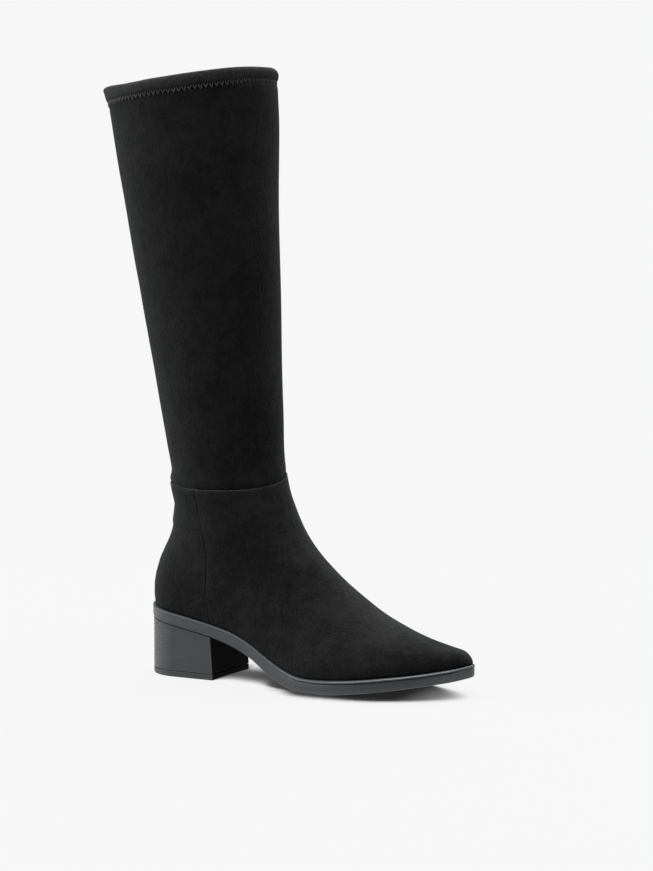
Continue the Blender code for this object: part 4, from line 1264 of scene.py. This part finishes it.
# Painted light, stored as a paler share: a painted highlight on the bead most, painted
# reflections on the lower edge and the tip, and painted light on the plain band round the waist.
painted_bead_highlight = forefoot * (0.6 + 0.6 * ramp(sole_x, 150.0, LENGTH - 20))
painted_side_light = 0.22 * (1 - forefoot) + 0.6 * ramp(sole_x, LENGTH - 40, LENGTH - 4)
sole_rings, painted_light_rings = [], []
for share, plain, ledge, lift in SOLE_SECTION:
    outset = plain + (ledge - plain) * forefoot
    plan = outline(sole_turns, np.where(outset > 0, outset * at_tip, outset))
    low, high = sole_underside(plan[:, 0]), sole_top(plan[:, 0])
    sole_rings.append(at_height(plan, low + (high - low) * share + lift))
    painted_edge_reflection = 0.55 * forefoot * (0.0 < share < 0.2) * (outset > 0)
    painted_light_rings.append(painted_side_light + painted_edge_reflection + painted_bead_highlight * (0.81 < share < 1.0))
sole = moulding("moulded_sole", sole_rings)
store(sole, "paler_share", np.concatenate(painted_light_rings))
sole.data.set_sharp_from_angle(angle=radians(50))
print("sole:", len(sole.data.polygons), "faces")

# %% [markdown]
# ## Tread
#
# Ribs across the forefoot grip the floor. Each is a bent line across the recess, and Geometry Nodes
# turn every line into a half-sunk bar. The lines rise and fall with the underside, so the bars do too.

# %% Ribs of the tread
rib_tree, rib = new_tree("ribs of a tread", "Radius")
rib_line = add_node(rib_tree, "GeometryNodeMeshToCurve", rib["Geometry"])
finish_tree(rib_tree, rib, bar_along(rib_tree, rib_line, rib["Radius"], 10))

RIB_SPACING, RIB_RADIUS, RIB_INSET, RIB_BEND, RIB_POINTS = 6.5, 1.05, 7.0, 5.0, 13
inside_outline = outline(mirrored_turns(400), -RIB_INSET)
outer_line, inner_line = inside_outline[:201], inside_outline[200:][::-1]
along_rib = np.linspace(0, 1, RIB_POINTS)
rib_points, rib_edges = [], []
for rib_x in np.arange(84.0, LENGTH - 20.0, RIB_SPACING):
    rib_ends = [np.interp(rib_x, line[:, 0], line[:, 1]) for line in (outer_line, inner_line)]
    bent_x = rib_x + RIB_BEND * np.sin(pi * along_rib)
    first = len(rib_points)
    rib_points += zip(bent_x, np.interp(along_rib, (0, 1), rib_ends), sole_underside(bent_x) + RIB_RADIUS)
    rib_edges += [(at, at + 1) for at in range(first, first + RIB_POINTS - 1)]
rib_lines = new_object("rib_lines", rib_points, [], rib_edges)
print("ribs:", len(rib_points) // RIB_POINTS)

# %% [markdown]
# ## The stacked heel
#
# A leather heel is stacked from lifts and sanded, and its side shows their edges as fine level lines.
# Rubber heels are moulded to look the same. The block is a grid with a row every 0.35 mm. Geometry
# Nodes press its rows in by a noise that is stretched sideways, and only where the noise is high, so
# that the lines start and fade as real ones do. They are deepest at the back.

# %% Shapes of the heel
BREAST, BREAST_RAKE, HEEL_INSET, TOP_PIECE = 64.5, 2.0, 0.5, 4.2
ROUND_COLUMNS, BREAST_COLUMNS = 150, 34


def heel_ring(breast, inset):
    """Return a ring of the heel in plan: round the back from the outer corner, then the breast."""
    back, tip = outline(np.array([0.0, pi]))[:, 0]
    corner = np.arccos(1 - 2 * (breast - inset - back) / (tip - back))
    turn = np.linspace(corner, -corner, ROUND_COLUMNS)
    plan = outline(turn, BAND_PROUD - HEEL_INSET - inset)
    plan[[0, -1], 0] = breast - inset
    part = np.linspace(0, 1, BREAST_COLUMNS + 2)[1:-1, None]
    # The breast is a touch hollow.
    hollow = 0.9 * np.sin(pi * part)
    face = plan[-1] + (plan[0] - plan[-1]) * part - hollow * (1, 0)
    return np.concatenate([plan, face])


def heel_solid(name, low_at, high_at, rows, edge, rake):
    """Return a piece of the heel between two height functions, with rounded edges."""
    bends = [(0.0, edge), (0.12 * edge, 0.5 * edge), (0.45 * edge, 0.14 * edge), (edge, 0.0)]
    # Of each ring: share of the height, distance from the underside and from the top, inset.
    forms = [(0, lift, 0.0, inset) for lift, inset in bends]
    forms += [(share, edge, edge, 0.0) for share in np.linspace(0, 1, rows)[1:-1]]
    forms += [(1, 0.0, lift, inset) for lift, inset in bends[::-1]]
    rings = []
    for share, above, below, inset in forms:
        plan = heel_ring(BREAST - rake * share, inset)
        low, high = low_at(plan[:, 0]) + above, high_at(plan[:, 0]) - below
        rings.append(at_height(plan, low + (high - low) * share))
    count = len(rings[0])
    faces = grid_faces(len(rings), count, closed=True)
    faces.append(list(range(count))[::-1])
    faces.append(list(range(len(rings) * count))[-count:])
    piece = new_object(name, np.concatenate(rings), faces)
    sheet = bmesh.new()
    sheet.from_mesh(piece.data)
    bmesh.ops.recalc_face_normals(sheet, faces=sheet.faces)
    sheet.to_mesh(piece.data)
    sheet.free()
    piece.data.set_sharp_from_angle(angle=radians(35))
    return piece, np.concatenate(rings)[:, 0]


def block_underside(x):
    return TOP_PIECE + FIT + 0 * x


def block_top(x):
    return sole_underside(x) - FIT


def worn_underside(x):
    """Return the underside of the top piece, which is worn round at the back."""
    return 2.4 * (1 - np.clip((x + 2.0) / 14.0, 0, 1)) ** 2


block_shape, block_x = heel_solid("heel_shape", block_underside, block_top, 108, 0.25, BREAST_RAKE)
top_piece, _ = heel_solid("heel_lift", worn_underside, lambda x: TOP_PIECE + 0 * x, 12, 0.3, 0.0)
print("top piece:", len(top_piece.data.polygons), "faces")

# %% Lines of the stack
at_back = 1 - ramp(block_x, 4.0, 30.0)
on_side = 1 - ramp(block_x, BREAST - 5.0, BREAST - 3.0)
store(block_shape, "line_depth", (0.07 + 0.93 * at_back) * on_side)

line_tree, line = new_tree("lines of a stacked heel", "Depth", "Line Width", "Line Length")
add = partial(add_node, line_tree)
line_long, line_wide = line["Line Length"], line["Line Width"]
line_size = add("ShaderNodeCombineXYZ", line_long, line_long, line_wide)
line_place = add(VECTOR_MATH, add("GeometryNodeInputPosition"), line_size, operation="DIVIDE")
line_share = add("GeometryNodeInputNamedAttribute", data_type="FLOAT", Name="line_depth")
line_press = add(
    MATH,
    add(
        MAP_RANGE, add(NOISE, line_place, Scale=1 / 1.0, Detail=2.0, Roughness=0.6), 0.5, 0.64, **SMOOTH
    ),
    line_share,
    operation="MULTIPLY",
)
line_press = add(
    MATH, add(MATH, line_press, line["Depth"], operation="MULTIPLY"), -1.0, operation="MULTIPLY"
)
line_move = add(VECTOR_MATH, add("GeometryNodeInputNormal"), operation="SCALE", Scale=line_press)
finish_tree(line_tree, line, add("GeometryNodeSetPosition", line["Geometry"], Offset=line_move))
print("nodes in the line tree:", len(line_tree.nodes))

# %% [markdown]
# ## Moulded rubber
#
# Thermoplastic rubber comes from the mould with a satin skin. It is a dark grey whose surface mirrors
# its white surroundings softly, so the sole looks far paler than the suede. Flow marks and dust make
# the gloss uneven over some centimetres, and handling leaves faint level scuffs.


# %% Rubber for the sole, the heel and the tread
def moulded_rubber(name, dark, light, rough_low, rough_high, line_size, **sockets):
    """Return a rubber whose scuffs run level, each about this many millimetres high."""
    material, shader, place, add = new_material(name)
    level_place = pattern_place(material.node_tree, (0.05, 0.05, 1))
    scuffs = add(
        MAP_RANGE,
        add(NOISE, level_place, Scale=1 / line_size, Detail=3.0, Roughness=0.6),
        0.4,
        0.7,
        **SMOOTH,
    )
    share = add(
        MATH,
        add(MATH, add(NOISE, place, Scale=1 / 22.0), 0.6, operation="MULTIPLY"),
        add(MATH, scuffs, 0.4, operation="MULTIPLY"),
        operation="ADD",
    )
    # Painted light: an attribute says where the sole is painted paler and a little smoother, as a
    # painted highlight on the bead and painted reflections and light on its sides.
    painted_light_here = add("ShaderNodeAttribute", attribute_name="paler_share").outputs["Fac"]
    fill(
        shader,
        Base_Color=add(
            MIX,
            painted_light_here,
            add(MIX, share, dark, light, data_type="RGBA"),
            # The paler grey of the painted light on the sole.
            "#5C6062",
            data_type="RGBA",
        ),
        Roughness=add(
            MATH,
            add(MAP_RANGE, share, 0.2, 0.8, rough_low, rough_high, **SMOOTH),
            add(MATH, painted_light_here, 0.14, operation="MULTIPLY"),
            operation="SUBTRACT",
        ),
        Normal=add(
            BUMP,
            Height=add(NOISE, place, Scale=1 / 0.5),
            Distance=0.03 * MM,
            Strength=0.5,
            Normal=add(BUMP, Height=scuffs, Distance=0.05 * MM, Strength=0.5),
        ),
        IOR=1.5,
        **sockets,
    )
    return material


rubbers = (
    ("dark grey thermoplastic rubber, satin mould", "#2F3233", "#3D4042", 0.34, 0.48, 1.0),
    ("dark grey rubber, moulded as a stack", "#313435", "#404345", 0.32, 0.46, 0.8),
    ("black hard rubber, matt mould", "#2E3031", "#3B3E3F", 0.42, 0.56, 0.9),
)
sole_rubber, heel_rubber, tread_rubber = (moulded_rubber(*rubber) for rubber in rubbers)
# Painted shade for the heel's breast: a near-black copy of the moulded rubber.
breast_shade_name = "black rubber, painted dark as shade on the breast"
breast_painted_shade_rubber = moulded_rubber(
    breast_shade_name, "#090909", "#111111", 0.7, 0.85, 1.4, Specular_IOR_Level=0.05
)
line_sizes = {"Depth": 0.22 * MM, "Line Width": 0.95 * MM, "Line Length": 160.0 * MM}
heel_block = grow("stacked_heel", block_shape, line_tree, {**line_sizes, "Material": heel_rubber})
ribs = grow("tread_ribs", rib_lines, rib_tree, {"Radius": RIB_RADIUS * MM, "Material": sole_rubber})
sole.data.materials.append(sole_rubber)
top_piece.data.materials.append(tread_rubber)
# The breast, the heel's front face, and the faces beside it that turn to the toe get painted shade:
# a darker, duller copy of the rubber.
front_x = (BREAST - BREAST_RAKE - 1.2 - ORIGIN_X) * MM
for piece in (heel_block, top_piece):
    piece.data.materials.append(breast_painted_shade_rubber)
    for face in piece.data.polygons:
        if face.normal.x > (0.3 if face.center.x > front_x else 0.9):
            face.material_index = 1

# %% [markdown]
# ## Insole
#
# The insole is a thin foam board under brushed cloth. Only a glance down the shaft shows it. It is
# the outline of the foot drawn in by 2.8 mm, a little hollow where the heel sits, with a soft edge.

# %% Lay the insole
INSOLE_EDGE = ((4.4, 0.0), (2.8, 0.25), (2.8, 1.5), (3.4, 2.0), (6.0, 1.9))  # inset, lift
insole_rings = []
for inset, lift in INSOLE_EDGE:
    plan = outline(mirrored_turns(120), -inset)
    insole_rings.append(at_height(plan, sole_top(plan[:, 0]) + FIT + lift))
insole_board = moulding("insole_board", insole_rings)
insole_board.data.materials.append(lining)
print("insole:", len(insole_board.data.polygons), "faces")

# %% [markdown]
# ## Everything rides on the model
#
# Each piece is tied to the body that it moves with, and the solid that it stands for, if any, is
# hidden. Only the pull tab moves; the rest of the boot is one body.

# %% Tie the pieces to the frame
stands_for = (
    (vamp, "upper", "suede"),
    (heel_panel, "upper", "suede"),
    (shaft_piece, "shaft", "stretch_suede"),
    (sole, "outsole", "sole_rubber"),
    (ribs, "outsole", "sole_rubber"),
    (heel_block, "heel_block", "sole_rubber"),
    (top_piece, "heel_top_piece", "tread_rubber"),
    (insole_board, "insole", "lining"),
    (tape, "zip_tape", "zip_cloth"),
    *((coil_piece, "zip_chain", "nylon_coil") for coil_piece in coils),
    (slider, "zip_slider", "lacquered_metal"),
    (pull_tab, "zip_pull", "lacquered_metal"),
    (hem_zigzag, None, "stretch_suede"),
    (ankle_stitches, None, "suede"),
    *((row, None, "zip_cloth") for row in zip_rows),
)
for piece, solid, slot in stands_for:
    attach(piece, "pull_tab" if piece is pull_tab else "boot")
    if solid:
        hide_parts(solid)
print("pieces on the boot:", len(stands_for))

# %% [markdown]
# ## Studio
#
# Black suede shows its form only where light meets it at an angle, so the boot is lit by large soft
# lamps: two high ones, one in front and one behind, a low one from the left that draws the edge of
# the shaft, and a weak one from the toe. The air itself gives next to no light, which keeps the
# right side of the shaft deep, and the heel's breast too, which also has painted shade. The floor is
# a pale disc of paper that mostly glows, with a painted shadow close to the boot: the glow is
# darkened where the boot closes the floor in within 50 mm, and only a little of the lamps' real
# shadow shows on it. Far from the boot it turns into plain light of the backdrop's tone, so that no
# horizon shows. It shines into the glossy rubber, as a real floor does, but it doesn't light the
# suede from below.

# %% The floor
FLOOR_RADIUS = 6.0
BACKDROP = hex_colour("#F7F7F7")
floor_sheet = bmesh.new()
bmesh.ops.create_circle(floor_sheet, cap_ends=True, cap_tris=False, segments=96, radius=FLOOR_RADIUS)
floor_mesh = bpy.data.meshes.new("studio_floor")
floor_sheet.to_mesh(floor_mesh)
floor_sheet.free()
floor = add_object("studio_floor", floor_mesh)
floor.visible_diffuse = False

paper, paper_shader, paper_pattern, add = new_material("pale seamless paper, glowing, with painted shadow")
paper_tone = add(MIX, add(NOISE, paper_pattern, Scale=1 / 3.0), "#E9E9E9", "#EDEDED", data_type="RGBA")
fill(paper_shader, Base_Color=paper_tone, Roughness=0.9, Specular_IOR_Level=0.1)
paper_place = add("ShaderNodeTexCoord").outputs["Object"]
floor_x = add("ShaderNodeSeparateXYZ", paper_place).outputs["X"]


# %% Shade that clings to the sole
def along_floor(places, values):
    """Return a value that moves smoothly from one to the next at places along the boot, in metres."""
    total = values[0]
    for ends, change in zip(places, np.diff(values)):
        total = add(MATH, total, add(MAP_RANGE, floor_x, *ends, 0.0, change, **SMOOTH), operation="ADD")
    return total


# How open the floor is to the air within 50 mm: 0.5 beside a wall, 1 in the open. It is felt along a
# leaning line, so that the shade of the arch falls to the far side and that of the forefoot to the near.
lean = along_floor(((0.06, 0.09),), (-0.9, 0.5))
leaning = add(VECTOR_MATH, add("ShaderNodeCombineXYZ", Y=lean, Z=1.0), operation="NORMALIZE")
open_air = add("ShaderNodeAmbientOcclusion", samples=24, Distance=0.05, Normal=leaning).outputs["AO"]
# The shade is soft under the arch, dark and tight where the forefoot presses on the floor, and soft
# and pale again under the raised tip.
half_shade_places = (0.03, 0.055), (0.06, 0.082), (0.085, 0.115), (0.165, 0.225)
half_shade = along_floor(half_shade_places, (0.48, 0.56, 0.44, 0.57, 0.4))
softness = along_floor(((0.058, 0.115), (0.16, 0.22)), (0.22, 0.05, 0.25))
darkest = along_floor(((0.06, 0.12), (0.175, 0.215)), (0.08, 0.02, 0.27))
close_shade = add(
    MAP_RANGE,
    open_air,
    add(MATH, half_shade, softness, operation="SUBTRACT"),
    add(MATH, half_shade, softness, operation="ADD"),
    darkest,
    1.0,
    **SMOOTH,
)
# Only the eye sees that shade: the paper that shines into the rubber stays bright.
seen = add("ShaderNodeLightPath").outputs["Is Camera Ray"]
close_shade = add(MATH, close_shade, add(MATH, 1.0, seen, operation="SUBTRACT"), operation="MAXIMUM")


# %% From paper to plain light
def mix_shaders(share, first, second, end):
    """Mix two shaders, or give two lights by what they meet, and send the result to the end node."""
    mixed = add_node(first.id_data, "ShaderNodeMixShader", share, first, second)
    fill(first.id_data.nodes[end], Surface=mixed)


from_middle = add(VECTOR_MATH, paper_place, operation="LENGTH").outputs["Value"]
far_share = add(MAP_RANGE, from_middle, 0.2, 1.2, **SMOOTH)
glow_strength = add(
    MATH, add(MAP_RANGE, far_share, 0.0, 1.0, 0.972, 1.0, **SMOOTH), close_shade, operation="MULTIPLY"
)
glow = add("ShaderNodeEmission", Color=BACKDROP, Strength=glow_strength)
mix_shaders(
    add(MAP_RANGE, far_share, 0.0, 1.0, 0.96, 1.0, **SMOOTH), paper_shader, glow, "Material Output"
)
floor_mesh.materials.append(paper)

scene = bpy.context.scene
scene.world = bpy.data.worlds.new("dim tent")
scene.world.use_nodes = True
tent_tree = scene.world.node_tree
tent_light = tent_tree.nodes["Background"]
fill(tent_light, Color=(1.0, 1.0, 1.0, 1.0), Strength=0.02)
tent_view = add_node(tent_tree, "ShaderNodeBackground", Color=BACKDROP, Strength=1.0)
to_eye = add_node(tent_tree, "ShaderNodeLightPath").outputs["Is Camera Ray"]
mix_shaders(to_eye, tent_light, tent_view, "World Output")


# %% Lamps
def add_lamp(name, strength, azimuth, elevation):
    """Add a soft lamp far away. Azimuth is the side it shines from: 0 is the toe, 90 the inner side."""
    lamp = set_up(bpy.data.lights.new(name, "SUN"), energy=strength, angle=radians(60))
    azimuth, elevation = radians(azimuth), radians(elevation)
    from_where = Vector((cos(azimuth) * cos(elevation), sin(azimuth) * cos(elevation), sin(elevation)))
    add_object(name, lamp).rotation_euler = from_where.to_track_quat("Z", "Y").to_euler()


add_lamp("high_front_light", 3.15, 250.0, 62.0)
add_lamp("high_back_light", 3.1, 102.0, 62.0)
add_lamp("low_left_light", 2.05, 203.0, 5.0)
add_lamp("toe_light", 0.74, 0.0, 35.0)
print("lamps:", ", ".join(light.name for light in bpy.data.lights))

# %% [markdown]
# ## Camera
#
# A long lens from a little above the foot keeps the tall shaft straight. The camera stands to the
# outer side and somewhat in front, so that the toe points to the right and a little towards it.

# %% Camera
lens = {"lens": 88.285, "sensor_width": 36.0, "clip_start": 0.05, "clip_end": 30.0}
camera = add_object("eye", set_up(bpy.data.cameras.new("eye"), **lens))
camera.location = (0.84038, -1.35499, 0.296)
camera.rotation_euler = (radians(85.75), 0.0, radians(28.3))
scene.camera = camera
scene.view_settings.view_transform = "Standard"
print("camera stands", round(camera.location.length, 3), "m from the heel")
